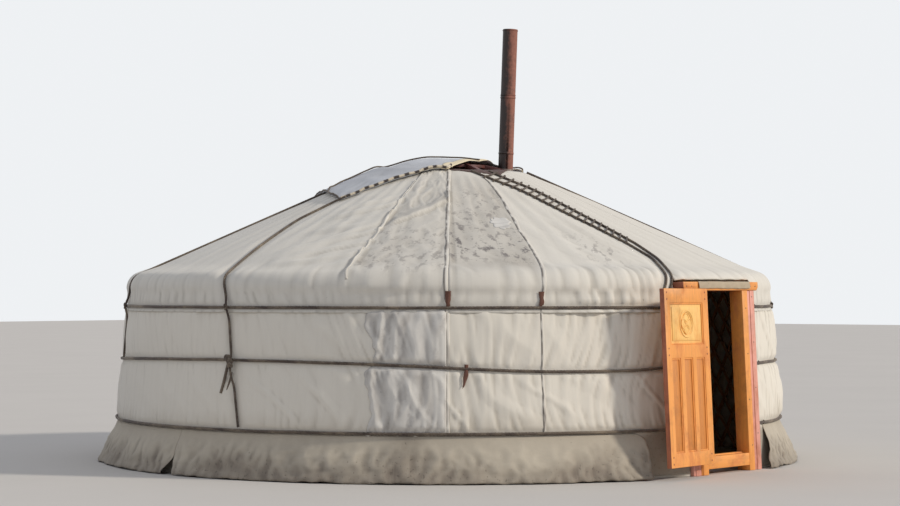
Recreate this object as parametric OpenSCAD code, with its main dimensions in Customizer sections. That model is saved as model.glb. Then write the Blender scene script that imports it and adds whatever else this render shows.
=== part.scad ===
// Round felt tent with a lattice wall, pole roof, open crown and a panelled door
// The tent axis stands on the ground at the origin, and the door faces -Y

/* [Wall] */
// Radius of the wall cover at the ground
wall_r = 3143; // [2900:1:3400]
// Inward lean of the wall in degrees
wall_lean = 5; // [3:0.5:7]
// Height of the lattice wall
lattice_h = 1603; // [1560:1:1640]
// Drop from the lattice head to the centre of the rounded shoulder
shoulder_drop = 9.5; // [9:0.5:14]
// Radius of the rounded shoulder at the eave
eave_r = 130; // [110:1:150]
// Thickness of the outer canvas
canvas_t = 4; // [3:0.5:6]
// Thickness of one felt layer
felt_t = 24; // [18:1:30]
// Depth that the roof canvas hangs down over the wall, below the shoulder
valance_drop = 205; // [150:5:260]
// Height of the lower edge of the wall canvas
canvas_foot = 20; // [10:1:60]

/* [Lattice] */
// Thickness of one lath
lath_t = 13; // [10:0.5:16]
// Width of one lath
lath_w = 32; // [26:1:38]
// Lath heads in one lattice section
lath_heads = 14; // [12:1:15]
// Head spacings that one lath crosses between foot and head
lath_span = 5; // [4:1:6]
// Height that a lath runs on above its top crossing
lath_horn = 43; // [36:1:50]

/* [Roof] */
// Outer radius of the crown rim
rim_r = 740; // [680:5:800]
// Width of the crown rim
rim_w = 85; // [70:1:100]
// Height of the crown rim
rim_h = 120; // [100:5:140]
// Slope of the roof in degrees
roof_pitch = 23.9; // [22.5:0.1:25]
// Rise of the crown spokes above the rim
dome_rise = 120; // [90:5:150]
// Number of crown spokes
spokes = 8; // [8:4:12]
// Width of a crown spoke
spoke_w = 36; // [30:1:44]
// Depth of a crown spoke
spoke_h = 45; // [36:1:54]
// Radius of the crown hub
hub_r = 110; // [90:5:130]
// Radius of the inner crown ring
ring_r = 345; // [320:5:370]
// Diameter of a roof pole
pole_d = 38; // [32:1:42]
// Roof poles that rest on the lintel
lintel_poles = 4; // [3:1:4]
// Width of a crown post
post_w = 76; // [64:2:90]
// Length of the bracket on a crown post
bracket_l = 420; // [340:10:480]
// Height of the bracket on a crown post
bracket_h = 90; // [70:5:110]

/* [Door frame] */
// Setback of the door frame from the outside of the wall at the ground
door_set = 13; // [5:1:20]
// Inward lean of the door in degrees
door_lean = 3; // [2:0.5:4]
// Clear width of the doorway
opening_w = 660; // [600:5:720]
// Height of the top of the threshold
sill_z = 155; // [140:1:180]
// Drop from the lattice head to the underside of the lintel
lintel_drop = 28; // [20:1:40]
// Height of the lintel board
lintel_h = 75; // [65:1:80]
// Depth of the lintel
lintel_d = 118; // [100:2:120]
// Width of the lintel board
lintel_w = 1200; // [1160:5:1240]
// Width of a jamb
jamb_w = 100; // [90:1:110]
// Depth of a jamb
jamb_d = 130; // [115:1:145]
// Width of the painted side casing
casing_w = 115; // [100:1:125]
// Depth of the painted side casing
casing_d = 150; // [135:1:165]
// Setback of the casing behind the face of the jamb
casing_set = 12; // [6:1:20]
// Gap under the threshold
sill_gap = 48; // [30:1:60]
// Left end of the canvas apron over the lintel
apron_x0 = -370; // [-420:5:-330]
// Right end of the canvas apron over the lintel
apron_x1 = 450; // [400:5:500]
// Part of the lintel that shows below the apron
apron_show = 19; // [17:1:35]

/* [Door leaf] */
// Overlap of the leaf on each jamb
leaf_lap = 40; // [30:1:50]
// Height of the lower edge of the leaf
leaf_z0 = 100; // [90:1:120]
// Overlap of the leaf on the lintel
leaf_top_lap = 10; // [5:1:13]
// Thickness of the leaf
leaf_t = 42; // [36:1:48]
// Gap between the closed leaf and the frame
leaf_gap = 5.5; // [5.2:0.1:8]
// Angle that the leaf stands open
leaf_open = 176; // [150:1:176]
// Width of a leaf stile
stile_w = 92; // [80:1:105]
// Height of the top rail
top_rail = 120; // [100:1:135]
// Height of the middle rail
mid_rail = 110; // [95:1:125]
// Height of the bottom rail
bottom_rail = 120; // [100:1:140]
// Height of the upper panel
upper_panel_h = 350; // [310:5:380]
// Width of a bar between the tall panels
muntin_w = 62; // [50:1:70]
// Thickness of a door panel
panel_t = 12; // [9:1:16]
// Depth of the panels below the inner face
panel_set = 16; // [12:1:20]
// Height of the raised field on a panel
field_t = 7; // [4:1:9]

/* [Hinges] */
// Diameter of a hinge pin
pin_d = 10; // [8:0.5:12]
// Play between a pin and its barrel
pin_play = 1; // [0.6:0.1:1.6]
// Wall of a hinge barrel
barrel_wall = 4; // [3:0.5:5]
// Height of a hinge barrel
barrel_h = 44; // [36:1:60]
// Length of a hinge strap
strap_l = 300; // [220:5:380]
// Thickness of a hinge strap
strap_t = 4; // [3:0.5:5]
// Height of the lower hinge above the foot of the leaf
hinge_low = 190; // [160:5:240]
// Height of the upper hinge below the head of the leaf
hinge_high = 190; // [160:5:240]

/* [Skirt] */
// Height of the top of the skirt
skirt_top = 386; // [360:1:390]
// Spread of the skirt at the ground beyond the wall
skirt_spread = 113; // [80:1:140]
// Thickness of the skirt canvas
skirt_t = 5; // [4:0.5:6]

/* [Ropes] */
// Diameter of a girth rope
girth_d = 28; // [22:1:32]
// Height of the upper girth rope above the edge of the valance
girth_rise = 42; // [30:1:50]
// Height of the middle girth rope
girth_middle = 930; // [880:5:980]
// Height of the lower girth rope above the top of the skirt
lower_rise = 16; // [15:1:30]
// Diameter of a roof rope
tie_d = 22; // [16:1:26]
// Diameter of the loose rope tail on the left
tail_d = 16; // [12:1:18]
// Spacing of the two laced ropes beside the door
lace_gap = 60; // [50:1:80]

/* [Smoke pipe] */
// Diameter of the pipe
pipe_d = 140; // [120:1:150]
// Wall of the pipe
pipe_wall = 3; // [2:0.5:4]
// Length of the pipe below the crown
pipe_below = 258; // [200:2:300]
// Length of the pipe
pipe_l = 1640; // [1500:5:1700]
// Lean of the pipe in degrees
pipe_lean = 2; // [1:0.25:3]
// Radius of the collar plate
collar_r = 135; // [128:1:138]
// Thickness of the collar plate
collar_t = 3; // [2:0.5:4]

/* [Crown flap] */
// Reach of the flap to each side
flap_side = 1380; // [1300:10:1450]
// Reach of the flap to the back
flap_back = 1560; // [1450:10:1650]
// Place of the folded front edge behind the tent axis
flap_front = 150; // [120:5:200]
// Thickness of the doubled flap
flap_t = 8; // [6:1:10]

/* [Fit] */
// Clearance between pieces that seat on each other
seat = 0.3; // [0.3:0.1:0.5]

/* [Hidden] */
round_fn = 240;
big = 9000;

// Wall and roof are described by one outer profile and by depths below it
nw = [cos(wall_lean), sin(wall_lean)];
nr = [sin(roof_pitch), cos(roof_pitch)];
wall_k = nw * [wall_r, 0] - eave_r;
wall_top = lattice_h - shoulder_drop;
arc_c = [(wall_k - nw[1] * wall_top) / nw[0], wall_top];
roof_k = nr * arc_c;
crown_z = (roof_k + eave_r - nr[0] * rim_r) / nr[1];
arc_sweep = 90 - roof_pitch - wall_lean;
roof_len = norm(arc_c + eave_r * nr - [rim_r, crown_z]);
arc_len = eave_r * arc_sweep * PI / 180;

// Point of the profile at length u from the crown, off above the surface
function prof(u, off) =
    u < roof_len ? [rim_r, crown_z] + u * [cos(roof_pitch), -sin(roof_pitch)] + off * nr :
    u < roof_len + arc_len ?
        let (t = 90 - roof_pitch - (u - roof_len) / eave_r * 180 / PI)
        arc_c + (eave_r + off) * [cos(t), sin(t)] :
    arc_c + (eave_r + off) * nw + (u - roof_len - arc_len) * [sin(wall_lean), -cos(wall_lean)];
function roof_at(r, d) = (roof_k + eave_r - d - nr[0] * r) / nr[1];
function wall_at(z, d) = (wall_k + eave_r - d - nw[1] * z) / nw[0];
function arc_pts(d) = [for (i = [0:12]) let (t = 90 - roof_pitch - i * arc_sweep / 12)
    arc_c + (eave_r - d) * [cos(t), sin(t)]];

// Depths of the layers below the outer surface
d_canvas = canvas_t + seat;
d_felt = d_canvas + canvas_t + seat;
d_lattice = d_felt + felt_t + seat;
d_roof_felt = canvas_t + seat;
d_pole = d_roof_felt + felt_t + seat;

// Door frame sizes
door_y = wall_r - door_set;
lintel_z = lattice_h - lintel_drop;
apron_z = lintel_z + apron_show;
leaf_z1 = lintel_z + leaf_top_lap;
lintel_a = asin(lintel_w / 2 / wall_r);
half_open = opening_w / 2;
jamb_x = half_open + jamb_w;
casing_x = jamb_x + casing_w;
door_a = asin((casing_x + 3) / wall_at(lattice_h, d_lattice + 2 * lath_t));
leaf_x = half_open + leaf_lap;
barrel_r = pin_d / 2 + pin_play / 2 + barrel_wall;
hinge_x = -leaf_x - barrel_r + 0.5;
hinge_y = -leaf_gap - leaf_t - strap_t - seat;
hinge_zs = [leaf_z0 + hinge_low, leaf_z1 - hinge_high];

// Lattice layout
arc_start = -90 + door_a;
arc_total = 360 - 2 * door_a;
section_a = arc_total / 5;
pitch = section_a / lath_heads;
seat_a = seat / wall_r * 180 / PI;
head_z = lattice_h - lath_horn;
foot_z = 40;
lath_c = (wall_at(head_z, d_lattice) + wall_at(foot_z, d_lattice)) * sin(lath_span / 2 * pitch)
    / (head_z - foot_z);
lath_mid = head_z - wall_at(head_z, d_lattice) * sin(lath_span / 2 * pitch) / lath_c;
lath_a = atan(1 / lath_c);
lath_sag = wall_r * (1 - cos((lath_span / 2 + 1) * pitch)) + 4 * lath_t;

// Roof pole line, from the notch between two lath horns to the crown rim
horn_gap = lath_horn * lath_c - lath_w / 2 / sin(lath_a);
pole_r0 = wall_at(lattice_h, d_lattice);
pole_z0 = lattice_h + sqrt(pole_d * pole_d / 4 - horn_gap * horn_gap) + seat;
pole_z1 = roof_at(rim_r, d_pole + 0.5) - pole_d / 2 / cos(roof_pitch);
pole_a = atan((pole_z1 - pole_z0) / (pole_r0 - rim_r));
crown_top = roof_at(rim_r, 0) - 4;
rim_in = rim_r - rim_w;
dome_r = (rim_in * rim_in + dome_rise * dome_rise) / (2 * dome_rise);
function dome_z(r) = crown_top + dome_rise - dome_r + sqrt(dome_r * dome_r - r * r);

// Heights of the girth ropes, and the length from the crown down to a height on the wall
valance_z = wall_top - valance_drop;
girth_upper = valance_z + girth_rise;
girth_lower = skirt_top + lower_rise;
function u_at(z) = roof_len + arc_len + (wall_top + eave_r * nw[1] - z) / cos(wall_lean);
u_upper = u_at(girth_upper);
u_middle = u_at(girth_middle);
u_lower = u_at(girth_lower);
// Routes of the roof ropes as [length from the crown, azimuth, lift]
rope_lift = tie_d / 2 + seat;
over = girth_d + seat;
route_left = [[760, 173, 0], [1170, 171.5, 0], [1750, 175, 0], [roof_len - 90, 178.5, 0],
    [u_upper - 86, 180.5, 0], [u_upper - 26, 181, over], [u_upper + 26, 181.2, over], [u_upper + 86, 181.4, 0],
    [u_middle - 86, 182.4, 0], [u_middle - 26, 182.6, over], [u_middle + 90, 183, over], [u_middle + 150, 183.3, 0],
    [u_lower - girth_d / 2 - tie_d / 2 - 1, 184.6, 0]];
route_back = [[500, 143, 0], [1200, 143, 0], [roof_len - 90, 143, 0], [u_upper - 86, 143, 0],
    [u_upper - 26, 143, over], [u_upper + 26, 143, over], [u_upper + 86, 143, 0],
    [u_middle - girth_d / 2 - tie_d / 2 - 1, 143, 0]];
route_lace = [[350, 252, 0], [600, 257, 0], [963, 259.5, 0], [1350, 261.5, 0], [1720, 262.5, 0],
    [2060, 261.8, 0], [roof_len - 50, 259.2, 0], [roof_len + arc_len + 30, 256.8, 0],
    [u_upper - girth_d / 2 - tie_d / 2 - 1, 256.6, 0]];
// Route of the loose tail as [length from the crown, azimuth, height above the cover]
route_tail = [[u_middle + 48, 182.85, 20], [u_middle + 77, 182.6, 9], [u_middle + 127, 182.2, 4.2],
    [u_middle + 192, 181.8, 4.2], [u_middle + 262, 181.5, 4.2]];

module polar_cut(a0, a1) {
    rotate([0, 0, a0]) rotate_extrude(angle = a1 - a0, $fn = round_fn) children();
}
module in_door_frame() {
    translate([0, -door_y, 0]) rotate([-door_lean, 0, 0]) children();
}
module block(x0, x1, y0, y1, z0, z1) {
    translate([x0, y0, z0]) cube([x1 - x0, y1 - y0, z1 - z0]);
}
module ground_cut() {
    difference() {
        children();
        translate([-big / 2, -big / 2, -200]) cube([big, big, 200]);
    }
}
// Space kept free by the door frame in the wall and in the eave
module door_void() {
    in_door_frame() {
        block(-casing_x - seat, casing_x + seat, -400, 400, -60, lintel_z + 10);
        block(-lintel_w / 2 - seat, lintel_w / 2 + seat, -400, lintel_d + seat,
            lintel_z - seat, lintel_z + lintel_h + canvas_t + 3 * seat);
    }
}
module open_at_door() {
    difference() {
        children();
        door_void();
    }
}

// Tube swept along points, with the ring planes at the bisectors
module sweep(pts, d, sides = 8) {
    n = len(pts);
    dirs = [for (i = [0:n - 1]) let (v = pts[min(i + 1, n - 1)] - pts[max(i - 1, 0)]) v / norm(v)];
    rings = [for (i = [0:n - 1]) let (u = cross(dirs[i], [0, 0, 1] + 0.3 * pts[i] / norm(pts[i])),
        e = u / norm(u), f = cross(e, dirs[i]))
        for (k = [0:sides - 1]) pts[i] + d / 2 * (cos(360 * k / sides) * e + sin(360 * k / sides) * f)];
    walls = [for (i = [0:n - 2]) for (k = [0:sides - 1]) let (a = i * sides + k,
        b = i * sides + (k + 1) % sides) each [[a, b, b + sides], [a, b + sides, a + sides]]];
    polyhedron(rings, concat(walls, [[for (k = [sides - 1:-1:0]) k]],
        [[for (k = [0:sides - 1]) (n - 1) * sides + k]]), convexity = 4);
}
function cover_point(u, az, off) = let (p = prof(u, off)) [p[0] * cos(az), p[0] * sin(az), p[1]];
function arc_steps(r) = [for (i = [0:len(r) - 2]) let (a = r[i], b = r[i + 1],
    n = max(1, ceil(abs(b[1] - a[1])),
        ceil((min(b[0], roof_len + arc_len + 20) - max(a[0], roof_len - 20)) / 14)))
    for (j = [0:n - 1]) a + (b - a) * j / n];
function route_points(r) = [for (p = concat(arc_steps(r), [r[len(r) - 1]]))
    cover_point(p[0], p[1], rope_lift + p[2])];

// Lattice: two crossed layers of laths, cut to the leaning wall
module lath_shell(d0, d1, a0, a1) {
    polar_cut(a0, a1) polygon([[wall_at(0, d1), 0], [wall_at(0, d0), 0],
        [wall_at(lattice_h, d0), lattice_h], [wall_at(lattice_h, d1), lattice_h]]);
}
module lath(a, dir) {
    rotate([0, 0, a + dir * lath_span / 2 * pitch])
        translate([wall_at(lath_mid, d_lattice) - lath_sag / 2, 0, lath_mid])
            rotate([dir * (90 - lath_a), 0, 0]) cube([2 * lath_sag, lath_w, 1.5 * lattice_h], center = true);
}
module lath_layer(d0, d1, dir) {
    intersection() {
        lath_shell(d0, d1, 0, section_a - seat_a);
        for (k = [-lath_span:lath_heads + lath_span - 1])
            let (c = k + 0.5 + dir * lath_span / 2)
                if (c > -lath_span / 2 - 0.3 && c < lath_heads + lath_span / 2 + 0.3)
                    lath((k + 0.5) * pitch, dir);
    }
}
module lattice(n) {
    color("peru") rotate([0, 0, arc_start + (n - 1) * section_a]) {
        lath_layer(d_lattice, d_lattice + lath_t + 1, 1);
        lath_layer(d_lattice + lath_t - 1, d_lattice + 2 * lath_t, -1);
    }
}
module lattice_1() { lattice(1); }
module lattice_2() { lattice(2); }
module lattice_3() { lattice(3); }
module lattice_4() { lattice(4); }
module lattice_5() { lattice(5); }

// Roof poles, cut plumb at the rim and at the eave, and to the back of the lintel
module pole(a) {
    rotate([0, 0, a]) translate([rim_r - 60, 0, pole_z1 + 60 * tan(pole_a)]) rotate([0, 90 + pole_a, 0])
        cylinder(d = pole_d, h = (pole_r0 - rim_r + 90) / cos(pole_a));
}
module roof_poles() {
    color("chocolate") difference() {
        intersection() {
            union() {
                for (k = [0:5 * lath_heads - 1]) pole(arc_start + (k + 0.5) * pitch);
                for (k = [0:lintel_poles - 1]) pole(-90 - door_a + (k + 0.5) * 2 * door_a / lintel_poles);
            }
            difference() {
                cylinder(r = pole_r0 - 10, h = 2 * crown_z, $fn = round_fn);
                translate([0, 0, -1]) cylinder(r = rim_r + seat, h = 3 * crown_z, $fn = round_fn);
            }
        }
        in_door_frame() block(-lintel_w / 2 - seat, lintel_w / 2 + seat, -300, lintel_d + seat,
            lintel_z - 60, lintel_z + lintel_h + 90);
    }
}

// Crown: rim, domed spokes with hub and ring, and two posts
module crown_rim() {
    color("firebrick") rotate_extrude($fn = round_fn) polygon([
        [rim_in, crown_top - rim_h + 8], [rim_in + 8, crown_top - rim_h], [rim_r - 8, crown_top - rim_h],
        [rim_r, crown_top - rim_h + 8], [rim_r, crown_top - 8], [rim_r - 8, crown_top],
        [rim_in + 8, crown_top], [rim_in, crown_top - 8]]);
}
module crown_spokes() {
    a_out = asin(rim_in / dome_r) + 3;
    a_in = asin(hub_r * 0.55 / dome_r);
    color("indianred") intersection() {
        union() {
            for (k = [0:spokes - 1]) rotate([0, 0, (k + 0.5) * 360 / spokes])
                translate([0, 0, crown_top + dome_rise - dome_r]) rotate([90, 0, 0])
                    rotate([0, 0, 90 - a_out]) rotate_extrude(angle = a_out - a_in, $fn = 256)
                        translate([dome_r - spoke_h, -spoke_w / 2]) square([spoke_h, spoke_w]);
            translate([0, 0, dome_z(0) - spoke_h - 12]) cylinder(r = hub_r, h = spoke_h + 16, $fn = 96);
            translate([0, 0, dome_z(ring_r) - spoke_h + 9]) difference() {
                cylinder(r = ring_r + 16, h = spoke_h - 18, $fn = 128);
                translate([0, 0, -1]) cylinder(r = ring_r - 16, h = spoke_h, $fn = 128);
            }
        }
        translate([0, 0, crown_top - rim_h]) cylinder(r = rim_in - seat, h = 4 * dome_rise, $fn = round_fn);
    }
}
module crown_posts() {
    post_top = crown_top - rim_h - seat;
    color("firebrick") for (s = [-1, 1]) translate([s * (rim_r - rim_w / 2), 0, 0]) {
        translate([-post_w / 2, -post_w / 2, 0]) cube([post_w, post_w, 240]);
        translate([0, 0, 240]) cylinder(d = post_w / cos(22.5), h = post_top - 240 - bracket_h, $fn = 8);
        translate([post_w / 2, 0, post_top]) rotate([90, 0, -90]) linear_extrude(post_w)
            polygon([[-bracket_l / 2, 0], [-bracket_l / 2, -28], [-bracket_l / 2 + 60, -40],
                [-post_w / 2 - 20, -bracket_h], [post_w / 2 + 20, -bracket_h],
                [bracket_l / 2 - 60, -40], [bracket_l / 2, -28], [bracket_l / 2, 0]]);
    }
}

// Door frame: jambs, painted casings, lintel and threshold, all leaning with the wall
module jambs() {
    color("orangered") ground_cut() in_door_frame() for (s = [0, 1]) mirror([s, 0, 0]) difference() {
        block(half_open, jamb_x, 0, jamb_d, -30, lintel_z - seat);
        block(jamb_x - 14, jamb_x + 1, -1, 10, -60, lintel_z + 1);
    }
}
module casings() {
    color("salmon") ground_cut() in_door_frame() for (s = [0, 1]) mirror([s, 0, 0]) {
        block(jamb_x + seat, casing_x, casing_set, casing_d, -30, lintel_z - seat);
        block(jamb_x + 34, casing_x - 26, casing_set - 8, casing_set, -30, lintel_z - seat);
    }
}
module lintel() {
    color("orangered") in_door_frame() difference() {
        block(-lintel_w / 2, lintel_w / 2, 0, lintel_d, lintel_z, lintel_z + lintel_h);
        for (s = [-1, 1]) translate([s * lintel_w / 2, 0, lintel_z]) rotate([0, 45, 0])
            cube([lintel_h / 2, 3 * casing_d, lintel_h / 2], center = true);
    }
}
module threshold() {
    color("orangered") in_door_frame() {
        block(-half_open + seat, half_open - seat, 0, jamb_d, sill_gap, sill_z);
        block(-half_open + seat, half_open - seat, jamb_d / 2, jamb_d, sill_z, sill_z + 12);
    }
}
module door_apron() {
    color("tan") in_door_frame() {
        difference() {
            block(apron_x0, apron_x1, -seat - canvas_t, lintel_d - 10,
                apron_z, lintel_z + lintel_h + seat + canvas_t);
            block(apron_x0 - 1, apron_x1 + 1, -seat, casing_d, 0, lintel_z + lintel_h + seat);
        }
    }
}

// Door leaf, drawn shut in the door frame and swung open about the hinge line
module leaf_place() {
    in_door_frame() translate([hinge_x, hinge_y, 0]) rotate([0, 0, -leaf_open])
        translate([-hinge_x, -hinge_y, 0]) children();
}
upper_z1 = leaf_z1 - top_rail;
upper_z0 = upper_z1 - upper_panel_h;
tall_z1 = upper_z0 - mid_rail;
tall_z0 = leaf_z0 + bottom_rail;
tall_w = (2 * leaf_x - 2 * stile_w - 2 * muntin_w) / 3;
function tall_x(i) = -leaf_x + stile_w + i * (tall_w + muntin_w);
module panel_holes(g, y0, y1) {
    block(-leaf_x + stile_w + g, leaf_x - stile_w - g, y0, y1, upper_z0 + g, upper_z1 - g);
    for (i = [0:2]) block(tall_x(i) + g, tall_x(i) + tall_w - g, y0, y1, tall_z0 + g, tall_z1 - g);
}
module leaf_frame() {
    color("darkorange") leaf_place() difference() {
        block(-leaf_x, leaf_x, -leaf_gap - leaf_t, -leaf_gap, leaf_z0, leaf_z1);
        panel_holes(0, -leaf_gap - leaf_t - 1, -leaf_gap + 1);
    }
}
module leaf_panels() {
    y1 = -leaf_gap - panel_set;
    color("orange") leaf_place() {
        panel_holes(seat, y1 - panel_t, y1);
        translate([0, y1, (upper_z0 + upper_z1) / 2]) rotate([-90, 0, 0]) difference() {
            translate([-leaf_x + stile_w + 40, -upper_panel_h / 2 + 34, 0])
                cube([2 * (leaf_x - stile_w - 40), upper_panel_h - 68, field_t]);
            difference() {
                cylinder(r = 96, h = 3 * field_t, center = true, $fn = 64);
                cylinder(r = 78, h = 4 * field_t, center = true, $fn = 64);
            }
        }
    }
}
module leaf_hinges() {
    color("dimgray") leaf_place() for (z = hinge_zs) difference() {
        union() {
            translate([hinge_x, hinge_y, z - barrel_h / 2]) cylinder(r = barrel_r, h = barrel_h, $fn = 48);
            block(hinge_x, hinge_x + strap_l, hinge_y, hinge_y + strap_t, z - barrel_h / 2, z + barrel_h / 2);
        }
        translate([hinge_x, hinge_y, z - barrel_h])
            cylinder(d = pin_d + pin_play, h = 2 * barrel_h, $fn = 48);
    }
}
module hinge_pins() {
    plate_x1 = -leaf_x - 6;
    color("dimgray") in_door_frame() for (z = hinge_zs) let (z0 = z - barrel_h / 2 - seat) {
        translate([hinge_x, hinge_y, z0 - 12]) cylinder(d = pin_d, h = barrel_h + 20, $fn = 48);
        block(hinge_x - 6.5, hinge_x + 4, hinge_y - pin_d / 2 - 1.5, -seat, z0 - 12, z0);
        block(-jamb_x + 15, plate_x1, -seat - 4, -seat, z0 - 42, z0 + 24);
    }
}

// Felt and canvas layers of the wall
module wall_layer(d0, t, z0, a0, a1) {
    polar_cut(a0, a1) polygon([[wall_at(z0, d0 + t), z0], [wall_at(z0, d0), z0],
        [wall_at(wall_top, d0), wall_top], [wall_at(wall_top, d0 + t), wall_top]]);
}
wall_a0 = arc_start - 1.5;
wall_a1 = 270 - door_a + 1.5;
module wall_felt(a0, a1) {
    color("gainsboro") wall_layer(d_felt, felt_t, 0, a0, a1 - seat_a);
}
module wall_felt_1() { open_at_door() wall_felt(wall_a0, 0); }
module wall_felt_2() { wall_felt(0, 90); }
module wall_felt_3() { wall_felt(90, 180); }
module wall_felt_4() { open_at_door() wall_felt(180, wall_a1 + seat_a); }
module wall_canvas(a0, a1) {
    color("linen") wall_layer(d_canvas, canvas_t, canvas_foot, a0, a1 - seat_a);
}
module wall_canvas_1() { open_at_door() wall_canvas(wall_a0, 40); }
module wall_canvas_2() { wall_canvas(40, 130); }
module wall_canvas_3() { wall_canvas(130, 219); }
module wall_canvas_4() { open_at_door() wall_canvas(219, wall_a1 + seat_a); }

// Felt and canvas layers of the roof
module roof_felt(a0, a1) {
    color("gainsboro") polar_cut(a0, a1 - seat_a) polygon(concat(
        [[rim_r + seat, roof_at(rim_r + seat, d_roof_felt)]], arc_pts(d_roof_felt),
        [[wall_at(wall_top + seat, d_roof_felt), wall_top + seat]],
        [[wall_at(wall_top + seat, d_roof_felt + felt_t), wall_top + seat]],
        [for (i = [11:-1:0]) arc_pts(d_roof_felt + felt_t)[i]],
        [[rim_r + seat, roof_at(rim_r + seat, d_roof_felt + felt_t)]]));
}
module roof_felt_1() { open_at_door() roof_felt(-90, 90); }
module roof_felt_2() { open_at_door() roof_felt(90, 270); }
module roof_canvas(a0, a1) {
    color("ivory") polar_cut(a0, a1 - seat_a) polygon(concat(
        [[rim_r + seat, roof_at(rim_r + seat, 0)]], arc_pts(0),
        [[wall_at(valance_z, 0), valance_z], [wall_at(valance_z, canvas_t), valance_z]],
        [for (i = [12:-1:0]) arc_pts(canvas_t)[i]],
        [[rim_r + seat, roof_at(rim_r + seat, canvas_t)]]));
}
module roof_door_cut() {
    difference() {
        children();
        in_door_frame() block(-lintel_w / 2 - seat, lintel_w / 2 + seat, -400, 400,
            valance_z - 100, lintel_z + lintel_h + canvas_t + 3 * seat);
    }
}
module roof_canvas_1() { roof_door_cut() roof_canvas(-90 - lintel_a, -53); }
module roof_canvas_2() { roof_canvas(-53, 90); }
module roof_canvas_3() { roof_canvas(90, 219); }
module roof_canvas_4() { roof_door_cut() roof_canvas(219, 270 - lintel_a); }

// Doubled flap over the back of the crown
module crown_flap() {
    peak = dome_z(0) + 4 + seat;
    inner = concat([[0, peak], [hub_r + 10, peak]],
        [for (r = [220:110:rim_in - 20]) [r, dome_z(r) + 6]],
        [[rim_r, roof_at(rim_r, -seat) + 3]],
        [for (r = [flap_side, flap_back + rim_r]) [r, roof_at(r, -seat)]]);
    color("antiquewhite") intersection() {
        rotate_extrude($fn = round_fn) polygon(concat(inner,
            [for (i = [len(inner) - 1:-1:0]) inner[i] + [0, flap_t]]));
        linear_extrude(big) polygon([[-flap_side, flap_front],
            [flap_side, flap_front], [260, flap_back], [-260, flap_back]]);
    }
}

// Skirt around the foot of the wall, in three lengths
module skirt(a0, a1) {
    top_r = wall_at(skirt_top, d_canvas) + seat;
    foot_r = wall_r + skirt_spread;
    color("darkkhaki") polar_cut(a0, a1) polygon([[foot_r - skirt_t, 0], [foot_r, 0],
        [top_r + skirt_t, skirt_top], [top_r, skirt_top]]);
}
module skirt_left() { skirt(173.4, 251); }
module skirt_back() { skirt(40, 170.3); }
module skirt_right() { skirt(-77, 40 - seat_a); }

// Girth ropes, tied to the door frame at both ends
module girth_rope(z, d) {
    open_at_door() polar_cut(wall_a0, wall_a1)
        translate([wall_at(z, d) + (girth_d / 2 + seat) / cos(wall_lean), z]) circle(d = girth_d, $fn = 32);
}
module girth_ropes() {
    color("saddlebrown") {
        girth_rope(girth_upper, 0);
        girth_rope(girth_middle, d_canvas);
        girth_rope(girth_lower, d_canvas);
    }
}

// Roof ropes over the covers
function mirrored(r) = [for (p = r) [p[0], 180 - p[1], p[2]]];
module tie_rope_left() { color("sienna") sweep(route_points(route_left), tie_d); }
module rope_tail() {
    color("sienna") sweep([for (p = route_tail) cover_point(p[0], p[1], p[2])], tail_d);
}
module tie_rope_right() { color("sienna") sweep(route_points(mirrored(route_left)), tie_d); }
module tie_rope_back() {
    color("sienna") {
        sweep(route_points(route_back), tie_d);
        sweep(route_points(mirrored(route_back)), tie_d);
    }
}
module lacing_ropes() {
    color("sienna") for (s = [-1, 1])
        sweep(route_points([for (p = route_lace)
            [p[0], p[1] + s * lace_gap / 2 / prof(p[0], 0)[0] * 180 / PI, p[2]]]), tie_d);
}

// Smoke pipe through the crown, with its collar on the rim
pipe_x = 350;
pipe_y = -410;
module on_pipe() {
    translate([pipe_x, pipe_y, crown_top]) rotate([0, 0, -51]) rotate([0, pipe_lean, 0]) children();
}
module stove_pipe() {
    color("brown") on_pipe() translate([0, 0, -pipe_below]) difference() {
        cylinder(d = pipe_d, h = pipe_l, $fn = 96);
        translate([0, 0, -1]) cylinder(d = pipe_d - 2 * pipe_wall, h = pipe_l + 2, $fn = 96);
    }
}
module pipe_collar() {
    color("gray") difference() {
        union() {
            translate([pipe_x, pipe_y, crown_top + seat]) cylinder(r = collar_r, h = collar_t, $fn = 96);
            on_pipe() cylinder(d = pipe_d + 8, h = 50, $fn = 96);
        }
        on_pipe() translate([0, 0, -pipe_below]) cylinder(d = pipe_d + 2 * seat, h = pipe_l, $fn = 96);
        translate([pipe_x, pipe_y, crown_top + seat - pipe_d]) cylinder(r = collar_r, h = pipe_d, $fn = 96);
    }
}

lattice_1();
lattice_2();
lattice_3();
lattice_4();
lattice_5();
roof_poles();
crown_rim();
crown_spokes();
crown_posts();
jambs();
casings();
lintel();
threshold();
leaf_frame();
leaf_panels();
leaf_hinges();
hinge_pins();
door_apron();
wall_felt_1();
wall_felt_2();
wall_felt_3();
wall_felt_4();
wall_canvas_1();
wall_canvas_2();
wall_canvas_3();
wall_canvas_4();
roof_felt_1();
roof_felt_2();
roof_canvas_1();
roof_canvas_2();
roof_canvas_3();
roof_canvas_4();
crown_flap();
skirt_left();
skirt_back();
skirt_right();
girth_ropes();
tie_rope_left();
rope_tail();
tie_rope_right();
tie_rope_back();
lacing_ropes();
stove_pipe();
pipe_collar();
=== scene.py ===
import bpy
import math
from mathutils import Matrix, Vector, noise


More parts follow.
